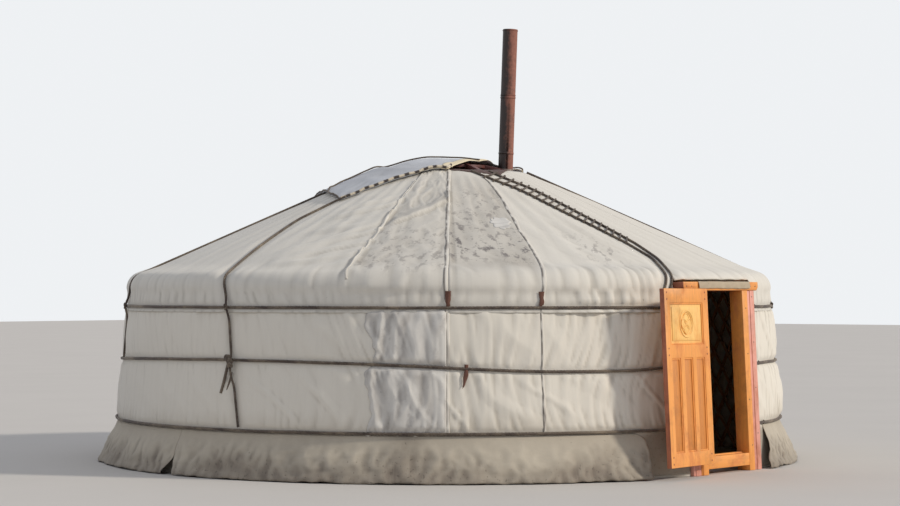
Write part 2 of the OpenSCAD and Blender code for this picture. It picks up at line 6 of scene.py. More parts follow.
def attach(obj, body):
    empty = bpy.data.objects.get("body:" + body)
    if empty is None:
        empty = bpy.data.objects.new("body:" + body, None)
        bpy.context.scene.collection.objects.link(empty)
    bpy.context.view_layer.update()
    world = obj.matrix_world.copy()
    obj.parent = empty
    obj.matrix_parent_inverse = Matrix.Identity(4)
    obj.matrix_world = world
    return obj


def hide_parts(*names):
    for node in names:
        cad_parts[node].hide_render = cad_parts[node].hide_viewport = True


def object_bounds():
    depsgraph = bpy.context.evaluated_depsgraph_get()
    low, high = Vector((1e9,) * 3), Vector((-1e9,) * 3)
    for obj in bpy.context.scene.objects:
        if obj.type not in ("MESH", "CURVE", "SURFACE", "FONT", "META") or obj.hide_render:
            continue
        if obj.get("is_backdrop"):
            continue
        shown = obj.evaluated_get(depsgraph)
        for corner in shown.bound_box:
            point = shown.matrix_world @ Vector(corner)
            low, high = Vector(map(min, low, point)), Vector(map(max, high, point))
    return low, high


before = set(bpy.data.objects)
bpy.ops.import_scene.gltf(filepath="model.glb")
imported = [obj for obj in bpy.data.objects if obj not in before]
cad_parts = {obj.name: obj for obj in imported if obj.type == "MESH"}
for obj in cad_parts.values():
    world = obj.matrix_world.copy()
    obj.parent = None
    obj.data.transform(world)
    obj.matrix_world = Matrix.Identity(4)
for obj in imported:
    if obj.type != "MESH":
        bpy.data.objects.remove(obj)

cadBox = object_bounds()
bpy.ops.object.select_all(action="DESELECT")
scene = bpy.context.scene
scene.view_settings.view_transform = "Standard"


# The view: from the left of the door, at eye level.
cameraSetup = {
    "azimuth": -50.9,      # degrees round the tent, the door side is 0
    "distance": 21.85,     # metres from the tent axis
    "height": 1.563,       # eye level
    "aim": (0.02, 0.0, 1.93),
    "lens": 92.0,
}


def makeCamera(c):
    data = bpy.data.cameras.new("viewCamera")
    cam = bpy.data.objects.new("viewCamera", data)
    scene.collection.objects.link(cam)
    a = math.radians(c["azimuth"])
    cam.location = (c["distance"] * math.sin(a), -c["distance"] * math.cos(a), c["height"])
    look = Vector(c["aim"]) - cam.location
    cam.rotation_euler = look.to_track_quat("-Z", "Y").to_euler()
    data.lens = c["lens"]
    data.sensor_width = 36.0
    data.clip_start = 0.2
    data.clip_end = 200.0
    scene.camera = cam


makeCamera(cameraSetup)
print("camera set")


# The shape of the tent in metres: one outline of wall, shoulder and roof, swept round the axis.
tent = {
    "wallR": 3.143, "lean": 5.0, "pitch": 23.9, "rimR": 0.740, "wallTop": 1.5935,
    "eaveR": 0.130, "seat": 0.0003,
    "girthHeights": (0.402, 0.930, 1.4305), "girthD": 0.028, "tieD": 0.022,
    "valanceDrop": 0.205, "doorY": 3.130, "doorLean": 3.0,
    "rimW": 0.085, "domeRise": 0.120, "valanceCut": 0.603,
}
lowRope, midRope, topRope = tent["girthHeights"]
sinP, cosP = math.sin(math.radians(tent["pitch"])), math.cos(math.radians(tent["pitch"]))
sinL, cosL = math.sin(math.radians(tent["lean"])), math.cos(math.radians(tent["lean"]))
normalWall = Vector((cosL, sinL))
normalRoof = Vector((sinP, cosP))
wallK = normalWall.x * tent["wallR"] - tent["eaveR"]
wallTop = tent["wallTop"]
arcCentre = Vector(((wallK - normalWall.y * wallTop) / normalWall.x, wallTop))
roofK = normalRoof.dot(arcCentre)
crownZ = (roofK + tent["eaveR"] - normalRoof.x * tent["rimR"]) / normalRoof.y
arcSweep = 90 - tent["pitch"] - tent["lean"]
roofLen = (arcCentre + tent["eaveR"] * normalRoof - Vector((tent["rimR"], crownZ))).length
arcLen = tent["eaveR"] * math.radians(arcSweep)
valanceZ = wallTop - tent["valanceDrop"]
crownTop = crownZ - 0.004
rimIn = tent["rimR"] - tent["rimW"]
domeR = (rimIn ** 2 + tent["domeRise"] ** 2) / (2 * tent["domeRise"])
doorAz = 270
# mean radii that turn degrees round the tent into metres of cloth
clothR, cutR, seamR, skirtR = 3.05, 3.08, 3.1, 3.2


def profile(u, off=0.0):
    # radius and height at length u down from the crown, off above the cover
    if u < roofLen:
        return Vector((tent["rimR"], crownZ)) + u * Vector((cosP, -sinP)) + off * normalRoof
    if u < roofLen + arcLen:
        t = math.radians(90 - tent["pitch"]) - (u - roofLen) / tent["eaveR"]
        return arcCentre + (tent["eaveR"] + off) * Vector((math.cos(t), math.sin(t)))
    return arcCentre + (tent["eaveR"] + off) * normalWall + (u - roofLen - arcLen) * Vector((sinL, -cosL))


def coverPoint(u, az, off=0.0):
    p = profile(u, off)
    return polar(p.x, az, p.y)


def roofAt(r, d=0.0):
    return (roofK + tent["eaveR"] - d - normalRoof.x * r) / normalRoof.y


def wallAt(z, d=0.0):
    return (wallK + tent["eaveR"] - d - normalWall.y * z) / normalWall.x


def lengthAtHeight(z):
    return roofLen + arcLen + (wallTop - z + tent["eaveR"] * sinL) / cosL


def domeZ(r):
    return crownTop + tent["domeRise"] - domeR + math.sqrt(domeR ** 2 - r * r)


def polar(r, az, z):
    a = math.radians(az)
    return Vector((r * math.cos(a), r * math.sin(a), z))


def unit(v):
    # kept within 0 and 1
    return min(1.0, max(0.0, v))


def smooth(a, b, x):
    t = unit((x - a) / (b - a))
    return t * t * (3 - 2 * t)


def between(x, a, b, c, d):
    # rises from a to b and falls again from c to d
    return smooth(a, b, x) * (1 - smooth(c, d, x))


def bell(x, centre, width):
    return math.exp(-((x - centre) / width) ** 2)


def wave(x, y, z=0.0):
    return noise.noise(Vector((x, y, z)))


def ridge(x, y, z=0.0):
    return 1 - abs(noise.noise(Vector((x, y, z)))) * 2


def around(az, k, v, seed=0.0):
    # noise along the circle, k times per radian, v up or down it
    a = math.radians(az)
    return noise.noise(Vector((k * math.cos(a), k * math.sin(a), v + 13.7 * seed)))


def folds(az, k, v, seed=0.0):
    return 1 - 2 * abs(around(az, k, v, seed))


# Shader groups: they give only masks and heights, the colours are mixed in each material.
def newGroup(name, inputs, outputs):
    tree = bpy.data.node_groups.new(name, "ShaderNodeTree")
    for label, kind, value in inputs:
        s = tree.interface.new_socket(label, in_out="INPUT", socket_type=kind)
        if value is not None:
            s.default_value = value
    for label, kind in outputs:
        tree.interface.new_socket(label, in_out="OUTPUT", socket_type=kind)
    return tree, tree.nodes.new("NodeGroupInput"), tree.nodes.new("NodeGroupOutput")


def setInputs(node, values):
    for socket, value in values.items():
        node.inputs[socket].default_value = value
    return node


def put(tree, kind, values=None, **settings):
    n = tree.nodes.new(kind)
    for k, v in settings.items():
        setattr(n, k, v)
    return setInputs(n, values or {})


def objectPlace(tree):
    return tree.nodes.new("ShaderNodeTexCoord").outputs["Object"]


def clothPlace(tree):
    return tree.nodes.new("ShaderNodeUVMap").outputs["UV"]


def paintedMarks(tree):
    # the three masks painted on each cloth and rope: dust, dirt, dabs; on the cloths the first two also carry
    # painted shade
    paint = put(tree, "ShaderNodeAttribute", attribute_name="vertexMarks")
    split = tree.nodes.new("ShaderNodeSeparateColor")
    tree.links.new(paint.outputs["Color"], split.inputs[0])
    return split.outputs


def ramp(tree, source, stops):
    n = tree.nodes.new("ShaderNodeValToRGB")
    e = n.color_ramp.elements
    while len(e) < len(stops):
        e.new(0.5)
    for el, (pos, col) in zip(e, stops):
        el.position = pos
        el.color = col if len(col) == 4 else (*col, 1)
    tree.links.new(source, n.inputs["Fac"])
    return n.outputs["Color"]


def mixColor(tree, fac, a, b, mode="MIX"):
    n = tree.nodes.new("ShaderNodeMix")
    n.data_type = "RGBA"
    n.blend_type = mode
    for socket, value in ((n.inputs[0], fac), (n.inputs[6], a), (n.inputs[7], b)):
        if hasattr(value, "is_output"):
            tree.links.new(value, socket)
        elif isinstance(value, (int, float)):
            socket.default_value = value
        else:
            socket.default_value = value if len(value) == 4 else (*value, 1)
    return n.outputs[2]


def maths(tree, op, a, b=0.5, clamp=False):
    n = tree.nodes.new("ShaderNodeMath")
    n.operation = op
    n.use_clamp = clamp
    for socket, value in zip(n.inputs, (a, b)):
        if hasattr(value, "is_output"):
            tree.links.new(value, socket)
        else:
            socket.default_value = value
    return n.outputs[0]


def times(tree, a, b, clamp=False):
    return maths(tree, "MULTIPLY", a, b, clamp)


def plus(tree, a, b, clamp=False):
    return maths(tree, "ADD", a, b, clamp)


def scaled(tree, source, scale):
    n = tree.nodes.new("ShaderNodeMapping")
    n.inputs["Scale"].default_value = scale
    tree.links.new(source, n.inputs["Vector"])
    return n.outputs["Vector"]


def noiseMask(tree, vector, scale, detail=4.0, rough=0.6):
    n = put(tree, "ShaderNodeTexNoise", {"Scale": scale, "Detail": detail, "Roughness": rough})
    tree.links.new(vector, n.inputs["Vector"])
    return n.outputs["Fac"]


def makeWeave():
    # threads of a coarse canvas, in metres along the cloth
    t, gi, go = newGroup("canvasWeave", [("Vector", "NodeSocketVector", None)],
                         [("Height", "NodeSocketFloat"), ("Slub", "NodeSocketFloat")])
    v = gi.outputs["Vector"]
    threads = []
    for direction in "XY":
        n = put(t, "ShaderNodeTexWave", {"Scale": 95.0, "Distortion": 1.5, "Detail": 1.0},
                bands_direction=direction)
        t.links.new(v, n.inputs["Vector"])
        threads.append(n.outputs["Fac"])
    slub = noiseMask(t, scaled(t, v, (1, 6, 1)), 60.0)
    t.links.new(plus(t, times(t, maths(t, "MAXIMUM", *threads), 0.4), slub), go.inputs["Height"])
    t.links.new(slub, go.inputs["Slub"])
    return t


def makeGrime():
    # blotches, downward streaks and fine specks of dirt
    t, gi, go = newGroup("coverGrime",
                         [("Vector", "NodeSocketVector", None), ("Amount", "NodeSocketFloat", 0.3)],
                         [(label, "NodeSocketFloat") for label in ("Blotch", "Streak", "Speck")])
    v = gi.outputs["Vector"]
    big = noiseMask(t, v, 1.7, 6.0, 0.62)
    fine = noiseMask(t, v, 14.0, 5.0, 0.7)
    blotch = times(t, plus(t, big, times(t, fine, 0.35)), gi.outputs["Amount"])
    streak = noiseMask(t, scaled(t, v, (11.0, 0.9, 1)), 1.6, 4.0, 0.65)
    speck = maths(t, "GREATER_THAN", noiseMask(t, v, 38.0, 3.0, 0.55),
                  maths(t, "SUBTRACT", 0.80, times(t, gi.outputs["Amount"], 0.16)))
    for label, mask in (("Blotch", blotch), ("Streak", streak), ("Speck", speck)):
        t.links.new(mask, go.inputs[label])
    return t


def makeGrain():
    # wood grain along the third axis of the vector
    t, gi, go = newGroup("woodGrain",
                         [("Vector", "NodeSocketVector", None), ("Scale", "NodeSocketFloat", 1.0)],
                         [("Grain", "NodeSocketFloat"), ("Wear", "NodeSocketFloat")])
    v = t.nodes.new("ShaderNodeVectorMath")
    v.operation = "SCALE"
    t.links.new(gi.outputs["Vector"], v.inputs[0])
    t.links.new(gi.outputs["Scale"], v.inputs["Scale"])
    grain = noiseMask(t, scaled(t, v.outputs[0], (60, 60, 2.2)), 1.0, 6.0, 0.65)
    wear = noiseMask(t, scaled(t, v.outputs[0], (7, 7, 3.0)), 1.0, 8.0, 0.7)
    t.links.new(grain, go.inputs["Grain"])
    t.links.new(wear, go.inputs["Wear"])
    return t


weaveGroup, grimeGroup, grainGroup = makeWeave(), makeGrime(), makeGrain()


def startMaterial(name):
    m = bpy.data.materials.new(name)
    m.use_nodes = True
    t = m.node_tree
    t.nodes.clear()
    out = t.nodes.new("ShaderNodeOutputMaterial")
    b = t.nodes.new("ShaderNodeBsdfPrincipled")
    t.links.new(b.outputs[0], out.inputs[0])
    return m, t, b


def useGroup(t, group, **links):
    n = t.nodes.new("ShaderNodeGroup")
    n.node_tree = group
    for k, v in links.items():
        if hasattr(v, "is_output"):
            t.links.new(v, n.inputs[k])
        else:
            n.inputs[k].default_value = v
    return n


def finish(t, b, colour, height, strength, distance):
    # the surface gets its colour and its bump
    n = put(t, "ShaderNodeBump", {"Strength": strength, "Distance": distance})
    t.links.new(height, n.inputs["Height"])
    t.links.new(n.outputs[0], b.inputs["Normal"])
    t.links.new(colour, b.inputs["Base Color"])


def clothMaterial(name, base, dark, stain, amount, weave=0.35, streaks=0.25):
    # woven cloth in metres of its own UV, with grime and painted shade put in by the attribute
    m, t, b = startMaterial(name)
    uv = clothPlace(t)
    dustAndShade, dirt, dabs = list(paintedMarks(t))[:3]
    # the first mask: dust, with painted shade in the creases and below the shoulder
    heavy = plus(t, dustAndShade, amount)
    g = useGroup(t, grimeGroup, Vector=uv, Amount=heavy)
    w = useGroup(t, weaveGroup, Vector=uv)
    c = mixColor(t, times(t, w.outputs["Slub"], 0.35), base, dark)
    c = mixColor(t, times(t, g.outputs["Blotch"], 1.1, True), c, stain)
    wet = times(t, maths(t, "SUBTRACT", g.outputs["Streak"], 0.48, True), streaks * 5, True)
    c = mixColor(t, wet, c, dark)
    c = mixColor(t, times(t, g.outputs["Speck"], 0.55), c, [v * 0.45 for v in stain])
    # the second mask: dirt, with painted shade in the creases and a painted shadow by the gore's fold
    c = mixColor(t, times(t, dirt, 0.75, True), c, [v * 0.5 for v in stain])
    dab = noiseMask(t, scaled(t, uv, (1.0, 0.50, 1)), 12.0, 3.0, 0.60)
    fine = noiseMask(t, uv, 42.0, 2.0, 0.6)
    dab = plus(t, times(t, dab, 0.75), times(t, fine, 0.25))
    dab = times(t, maths(t, "SUBTRACT", dab, 0.520), 12.0, True)
    c = mixColor(t, times(t, dab, times(t, dabs, 1.0, True)), c, (0.20, 0.18, 0.17))
    setInputs(b, {"Roughness": 0.9, "Specular IOR Level": 0.2, "Sheen Weight": 0.12})
    finish(t, b, c, w.outputs["Height"], weave, 0.0012)
    return m


def paintedWood(name, paint, under, worn=0.5, scale=1.0, rough=0.5, across=False):
    m, t, b = startMaterial(name)
    o = objectPlace(t)
    if across:      # grain along the board's width
        turn = t.nodes.new("ShaderNodeMapping")
        turn.inputs["Rotation"].default_value = (0, math.pi / 2, 0)
        t.links.new(o, turn.inputs["Vector"])
        o = turn.outputs["Vector"]
    g = useGroup(t, grainGroup, Vector=o, Scale=scale)
    shade = ramp(t, g.outputs["Grain"], [(0.25, [v * 0.78 for v in paint]), (0.5, paint),
                                         (0.8, [min(1, v * 1.1) for v in paint])])
    mask = ramp(t, g.outputs["Wear"], [(worn, (0, 0, 0)), (worn + 0.13, (1, 1, 1))])
    c = mixColor(t, times(t, mask, 0.75), shade, under)
    dirt = noiseMask(t, o, 3.0, 6.0, 0.7)
    c = mixColor(t, ramp(t, dirt, [(0.52, (0, 0, 0)), (0.8, (0.6, 0.6, 0.6))]), c, [v * 0.35 for v in under])
    t.links.new(plus(t, times(t, mask, 0.3), rough, True), b.inputs["Roughness"])
    finish(t, b, c, plus(t, g.outputs["Grain"], times(t, mask, -0.6)), 0.35, 0.0015)
    return m


def ironMaterial(name, clean, rust, cover=0.5, metallic=0.6, scale=6.0, litRustSide=None):
    m, t, b = startMaterial(name)
    o = objectPlace(t)
    n1 = noiseMask(t, scaled(t, o, (1, 1, 0.35)), scale, 8.0, 0.72)
    n2 = noiseMask(t, o, scale * 7, 5.0, 0.7)
    amount = plus(t, times(t, n1, 0.8), times(t, n2, 0.2))
    if litRustSide:        # rust, and more of it toward the key lamp as painted light; near-black on the far side as painted shade
        facing = t.nodes.new("ShaderNodeVectorMath")
        facing.operation = "DOT_PRODUCT"
        t.links.new(o, facing.inputs[0])
        facing.inputs[1].default_value = litRustSide[:3]
        amount = plus(t, amount, maths(t, "SUBTRACT", facing.outputs["Value"], litRustSide[3]))
    mask = ramp(t, amount, [(cover - 0.1, (0, 0, 0)), (cover + 0.08, (1, 1, 1))])
    c = mixColor(t, mask, clean, ramp(t, n2, [(0.3, [v * 0.6 for v in rust]), (0.7, rust)]))
    t.links.new(maths(t, "SUBTRACT", metallic, times(t, mask, metallic), True), b.inputs["Metallic"])
    t.links.new(plus(t, times(t, mask, 0.4), 0.42, True), b.inputs["Roughness"])
    finish(t, b, c, n2, 0.4, 0.001)
    return m


def feltMaterial(name, base, dark):
    m, t, b = startMaterial(name)
    o = objectPlace(t)
    clump = noiseMask(t, o, 9.0, 6.0, 0.7)
    fuzz = noiseMask(t, o, 160.0, 4.0, 0.8)
    c = mixColor(t, ramp(t, clump, [(0.35, (0, 0, 0)), (0.7, (1, 1, 1))]), base, dark)
    setInputs(b, {"Roughness": 1.0, "Specular IOR Level": 0.1, "Sheen Weight": 0.3})
    finish(t, b, c, plus(t, fuzz, clump), 0.5, 0.003)
    return m


def ropeMaterial(name, dark, light, share):
    m, t, b = startMaterial(name)
    uv = clothPlace(t)
    hair = noiseMask(t, scaled(t, uv, (6, 60, 1)), 8.0, 4.0, 0.7)
    patch = noiseMask(t, uv, 5.0, 5.0, 0.7)
    mask = plus(t, times(t, hair, 0.5), times(t, patch, 0.5))
    c = mixColor(t, ramp(t, mask, [(1 - share - 0.12, (0, 0, 0)), (1 - share + 0.1, (1, 1, 1))]), dark, light)
    c = mixColor(t, times(t, paintedMarks(t)[0], 0.85), c, light)
    setInputs(b, {"Roughness": 0.85, "Sheen Weight": 0.15})
    finish(t, b, c, hair, 0.6, 0.0015)
    return m


# Each cloth: fresh colour, dull colour, stain, how dirty; and where they differ, weave and streaks.
cloths = {
    "canvas": ("coverCanvas", (0.80, 0.755, 0.665), (0.66, 0.62, 0.54), (0.50, 0.44, 0.35), 0.10),
    "roof": ("roofCanvas", (0.77, 0.735, 0.66), (0.62, 0.59, 0.52), (0.46, 0.42, 0.36), 0.14, 0.35, 0.4),
    # the flap's cool blue-grey is painted shade, the tone of canvas in shade
    "flap": ("flapCanvas", (0.60, 0.62, 0.65), (0.46, 0.48, 0.51), (0.34, 0.34, 0.35), 0.15),
    "hem": ("hemCanvas", (0.90, 0.79, 0.56), (0.76, 0.62, 0.38), (0.50, 0.40, 0.27), 0.04),
    "mend": ("mendCloth", (0.69, 0.668, 0.622), (0.61, 0.588, 0.546), (0.52, 0.48, 0.42), 0.06),
    "seam": ("seamTape", (0.80, 0.765, 0.69), (0.66, 0.62, 0.54), (0.16, 0.12, 0.10), 0.06),
    "patch": ("patchCanvas", (0.78, 0.755, 0.70), (0.62, 0.595, 0.545), (0.34, 0.31, 0.28), 0.16, 0.5),
    "soot": ("sootyCloth", (0.17, 0.095, 0.085), (0.10, 0.065, 0.06), (0.05, 0.04, 0.035), 0.30, 0.7),
    "strap": ("strapCloth", (0.19, 0.085, 0.060), (0.12, 0.06, 0.045), (0.06, 0.04, 0.03), 0.25, 0.7),
    "skirt": ("skirtCanvas", (0.64, 0.575, 0.46), (0.48, 0.43, 0.345), (0.24, 0.20, 0.16), 0.22, 0.7),
    "apron": ("apronCanvas", (0.60, 0.50, 0.36), (0.45, 0.37, 0.26), (0.30, 0.23, 0.16), 0.12, 0.5),
}
# Each wood: paint, the wood under it, where the wear begins; then grain scale, roughness, grain across.
woods = {
    "orange": ("orangePaint", (0.83, 0.34, 0.075), (0.62, 0.22, 0.07), 0.50),
    "orangeAcross": ("orangePaintAcross", (0.83, 0.34, 0.075), (0.62, 0.22, 0.07), 0.50, 1.0, 0.5, True),
    "panel": ("panelPaint", (0.62, 0.235, 0.050), (0.48, 0.17, 0.05), 0.54),
    "field": ("fieldPaint", (0.90, 0.54, 0.17), (0.80, 0.38, 0.11), 0.52),
    # edge: the pegs' dark red, and painted shade on the leaf's narrow sides and bottom and on the lintel's ends
    # and under edge
    "edge": ("edgePaint", (0.42, 0.13, 0.06), (0.27, 0.09, 0.05), 0.45),
    "pink": ("casingPaint", (0.74, 0.34, 0.26), (0.52, 0.20, 0.12), 0.50),
    "lath": ("lathWood", (0.52, 0.30, 0.15), (0.36, 0.20, 0.10), 0.55, 0.8, 0.65),
    "pole": ("poleWood", (0.60, 0.24, 0.09), (0.40, 0.16, 0.07), 0.55, 0.8),
    # the crown's near-black maroon is dark paint darkened further as painted shade for the dark smoke hole
    "crown": ("crownWood", (0.125, 0.036, 0.029), (0.07, 0.036, 0.030), 0.50, 0.9),
}
# Each iron: clean and rusty colour, rust cover, metal, scale; the pipe also has the side toward the lamp, where
# its rust spreads as painted light, its near-black being painted shade.
irons = {
    "iron": ("hingeIron", (0.10, 0.09, 0.09), (0.20, 0.09, 0.05), 0.55, 0.7, 14.0),
    "pipe": ("pipeRust", (0.030, 0.020, 0.018), (0.33, 0.135, 0.095), 0.46, 0.30, 5.0,
             (1.25, -2.17, -0.0855, 1.19)),
    "collar": ("collarSoot", (0.16, 0.15, 0.14), (0.22, 0.10, 0.06), 0.55, 0.6, 8.0),
}
# Each rope: dark and light hair, and the share of light.
ropes = {
    "rope": ("hairRope", (0.055, 0.038, 0.030), (0.42, 0.34, 0.24), 0.40),
    "hemRope": ("hemRope", (0.055, 0.042, 0.036), (0.76, 0.67, 0.52), 0.02),
}
mats = {"felt": feltMaterial("woolFelt", (0.66, 0.62, 0.54), (0.46, 0.42, 0.35))}
makers = ((clothMaterial, cloths), (paintedWood, woods), (ironMaterial, irons), (ropeMaterial, ropes))
for makeOne, kinds in makers:
    for key, values in kinds.items():
        mats[key] = makeOne(*values)
print("materials made")


# Light: one wide soft lamp from the door side and a pale sky.
lighting = {
    "keyAzimuth": 24.0, "keyHeight": 27.0, "keyStrength": 2.25, "keySoftness": 5.0,
    "keyColour": (1.0, 0.93, 0.83),
    "skyColour": (0.86, 0.90, 1.0), "skyStrength": 0.57,
    "floorColour": (0.62, 0.59, 0.55), "backColour": (0.86, 0.88, 0.90),
}


def makeLight(c):
    lamp = bpy.data.lights.new("keyLamp", "SUN")
    lamp.energy = c["keyStrength"]
    lamp.angle = math.radians(c["keySoftness"])
    lamp.color = c["keyColour"]
    key = bpy.data.objects.new("keyLamp", lamp)
    scene.collection.objects.link(key)
    a, e = math.radians(c["keyAzimuth"]), math.radians(c["keyHeight"])
    source = Vector((math.sin(a) * math.cos(e), -math.cos(a) * math.cos(e), math.sin(e)))
    key.location = source * 20
    key.rotation_euler = (-source).to_track_quat("-Z", "Y").to_euler()
    world = bpy.data.worlds.new("paleSky")
    scene.world = world
    world.use_nodes = True
    t = world.node_tree
    t.nodes.clear()
    out = t.nodes.new("ShaderNodeOutputWorld")
    sky = put(t, "ShaderNodeBackground", {"Color": (*c["skyColour"], 1), "Strength": c["skyStrength"]})
    seen = put(t, "ShaderNodeBackground", {"Color": (*c["backColour"], 1), "Strength": 1.0})
    path = t.nodes.new("ShaderNodeLightPath").outputs
    pick = t.nodes.new("ShaderNodeMixShader")
    t.links.new(maths(t, "MAXIMUM", path["Is Camera Ray"], path["Is Glossy Ray"]), pick.inputs[0])
    t.links.new(sky.outputs[0], pick.inputs[1])
    t.links.new(seen.outputs[0], pick.inputs[2])
    t.links.new(pick.outputs[0], out.inputs[0])


def makeFloor(c):
    bpy.ops.mesh.primitive_plane_add(size=160, location=(0, 0, -0.001))
    floor = bpy.context.object
    floor.name = "studioFloor"
    m, t, b = startMaterial("floorPaint")
    o = objectPlace(t)
    soft = noiseMask(t, o, 0.6, 3.0, 0.5)
    t.links.new(ramp(t, soft, [(0.3, [v * 0.97 for v in c["floorColour"]]), (0.7, c["floorColour"])]),
                b.inputs["Base Color"])
    setInputs(b, {"Roughness": 0.9, "Specular IOR Level": 0.1})
    floor.data.materials.append(m)
    floor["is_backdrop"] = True


makeLight(lighting)
makeFloor(lighting)
print("lamps and floor set")


# What the pieces go through: selection, mesh clean-up, joining, and the body each one moves with.
def onlySelect(obj):
    bpy.ops.object.select_all(action="DESELECT")
    obj.select_set(True)
    bpy.context.view_layer.objects.active = obj


def editMesh(piece, merge=0.0, outward=False, cuts=0, flatten=0.0):
    onlySelect(piece)
    bpy.ops.object.mode_set(mode="EDIT")
    bpy.ops.mesh.select_all(action="SELECT")
    if merge:
        bpy.ops.mesh.remove_doubles(threshold=merge)
    if flatten:     # degrees between faces that become one
        bpy.ops.mesh.dissolve_limited(angle_limit=math.radians(flatten))
    if cuts:
        bpy.ops.mesh.subdivide(number_cuts=cuts)
    if outward:
        bpy.ops.mesh.normals_make_consistent(inside=False)
    bpy.ops.object.mode_set(mode="OBJECT")


def claim(piece, node=None, body="tent"):
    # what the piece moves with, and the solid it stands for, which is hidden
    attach(piece, body)
    if node:
        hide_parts(node)
    return piece


def newPart(soft=False):
    # the primitive just added, its place and size taken into the mesh
    bpy.ops.object.transform_apply(location=True, rotation=True, scale=True)
    if soft:
        bpy.ops.object.shade_smooth()
    return bpy.context.object


def addMesh(target, source):
    # joins source into target and leaves one piece
    onlySelect(target)
    source.select_set(True)
    bpy.ops.object.join()
    return target


def assemble(name, parts, material, matrix, body="tent"):
    # one piece from its parts, moved by the matrix without a transform left on it
    whole = parts[0]
    for part in parts[1:]:
        addMesh(whole, part)
    whole.name = whole.data.name = name
    whole.data.materials.append(mats[material])
    whole.data.transform(matrix @ whole.matrix_world)
    whole.matrix_world = Matrix.Identity(4)
    whole.data.update()
    return claim(whole, body=body)


# Ropes: a bar of three twisted strands that follows its points, with fuzzy light patches painted in.
def frameAlong(points):
    tangents = []
    for i in range(len(points)):
        d = points[min(i + 1, len(points) - 1)] - points[max(i - 1, 0)]
        tangents.append(d.normalized())
    side = tangents[0].orthogonal().normalized()
    sides = []
    for d in tangents:
        side = (side - d * side.dot(d)).normalized()
        sides.append(side)
    return tangents, sides


def lineLength(points):
    return sum((b - a).length for a, b in zip(points, points[1:]))


def resample(points, step):
    # the same line with its points at even steps
    out = [points[0].copy()]
    total = lineLength(points)
    count = max(2, round(total / step))
    step = total / count
    i = 0
    lengths = [0.0]
    for a, b in zip(points, points[1:]):
        lengths.append(lengths[-1] + (b - a).length)
    for k in range(1, count):
        want = k * step
        while lengths[i + 1] < want:
            i += 1
        f = (want - lengths[i]) / max(1e-9, lengths[i + 1] - lengths[i])
        out.append(points[i].lerp(points[i + 1], f))
    out.append(points[-1].copy())
    return out


def rounded(points, passes=2):
    # corner cutting that keeps both ends
    for _ in range(passes):
        new = [points[0]]
        for a, b in zip(points, points[1:]):
            new += [a.lerp(b, 0.25), a.lerp(b, 0.75)]
        points = new + [points[-1]]
    return points


def meshFrom(name, verts, faces, material, uvs=None, vertexMarks=None):
    mesh = bpy.data.meshes.new(name)
    mesh.from_pydata(verts, [], faces)
    if uvs:
        layer = mesh.uv_layers.new(name="UVMap")
        loops = [0] * len(mesh.loops)
        mesh.loops.foreach_get("vertex_index", loops)
        flat = []
        for v in loops:
            flat += uvs[v]
        layer.data.foreach_set("uv", flat)
    if vertexMarks:
        attribute = mesh.color_attributes.new("vertexMarks", "FLOAT_COLOR", "POINT")
        flat = []
        for g in vertexMarks:
            flat += (g[0], g[1], g[2] if len(g) > 2 else 0.0, 1.0)
        attribute.data.foreach_set("color", flat)
    mesh.materials.append(material)
    mesh.polygons.foreach_set("use_smooth", [True] * len(mesh.polygons))
    mesh.update()
    obj = bpy.data.objects.new(name, mesh)
    scene.collection.objects.link(obj)
    return obj


def ropeParts(points, diameter, step=0.009, sides=12, twist=0.07, fray=0.0, stripes=0.0):
    # rings along the points, their outline a three-lobed clover that turns with the length
    points = resample(points, step)
    tangents, acrosses = frameAlong(points)
    verts, faces, uvs, vertexMarks = [], [], [], []
    r, run = diameter / 2, 0.0
    for i, (p, d, e) in enumerate(zip(points, tangents, acrosses)):
        if i:
            run += (p - points[i - 1]).length
        f = d.cross(e)
        turn = 2 * math.pi * run / twist
        light = 0.5 + 0.9 * wave(run * 1.7, p.x * 0.9, p.z * 0.7)
        if stripes:
            phase = 2 * math.pi * run / stripes + 2.5 * wave(run * 2.0, 4.0)
            light = 2.4 * smooth(-0.25, 0.25, math.sin(phase))
        spread = 1.0 + fray * smooth(len(points) * 0.72, len(points), i)
        for k in range(sides):
            a = 2 * math.pi * k / sides
            lobe = abs(math.cos(1.5 * (a - turn)))
            q = r * spread * (0.74 + 0.26 * lobe)
            verts.append(p + q * (math.cos(a) * e + math.sin(a) * f))
            uvs.append((run, a * r))
            vertexMarks.append((unit(light - 0.45) * (1.0 if stripes else 0.5), 0.0))
    n = len(points)
    for i in range(n - 1):
        for k in range(sides):
            a, b = i * sides + k, i * sides + (k + 1) % sides
            faces.append((a, b, b + sides, a + sides))
    faces.append(tuple(reversed(range(sides))))
    faces.append(tuple((n - 1) * sides + k for k in range(sides)))
    return verts, faces, uvs, vertexMarks, points


def makeRope(name, paths, diameter, material, **more):
    # several stretches of one rope in one piece
    verts, faces, uvs, vertexMarks, used = [], [], [], [], []
    for path in paths:
        v, f, u, g, p = ropeParts(path, diameter, **more)
        k = len(verts)
        verts += v
        faces += [tuple(i + k for i in face) for face in f]
        uvs += u
        vertexMarks += g
        used.append(p)
    return meshFrom(name, verts, faces, mats[material], uvs, vertexMarks), used


def knotPath(centre, normal, along, size, lift=0.0):
    # one loose overhand turn
    side = normal.cross(along).normalized()
    out = []
    for i in range(61):
        t = 2 * math.pi * i / 60
        x = math.sin(t) + 2 * math.sin(2 * t)
        y = math.cos(t) - 2 * math.cos(2 * t)
        z = -math.sin(3 * t)
        out.append(centre + size * (x * along * 0.34 + y * side * 0.26 + z * normal * 0.24) + normal * lift)
    return out


def wallNormal(az):
    a = math.radians(az)
    return Vector((cosL * math.cos(a), cosL * math.sin(a), sinL))


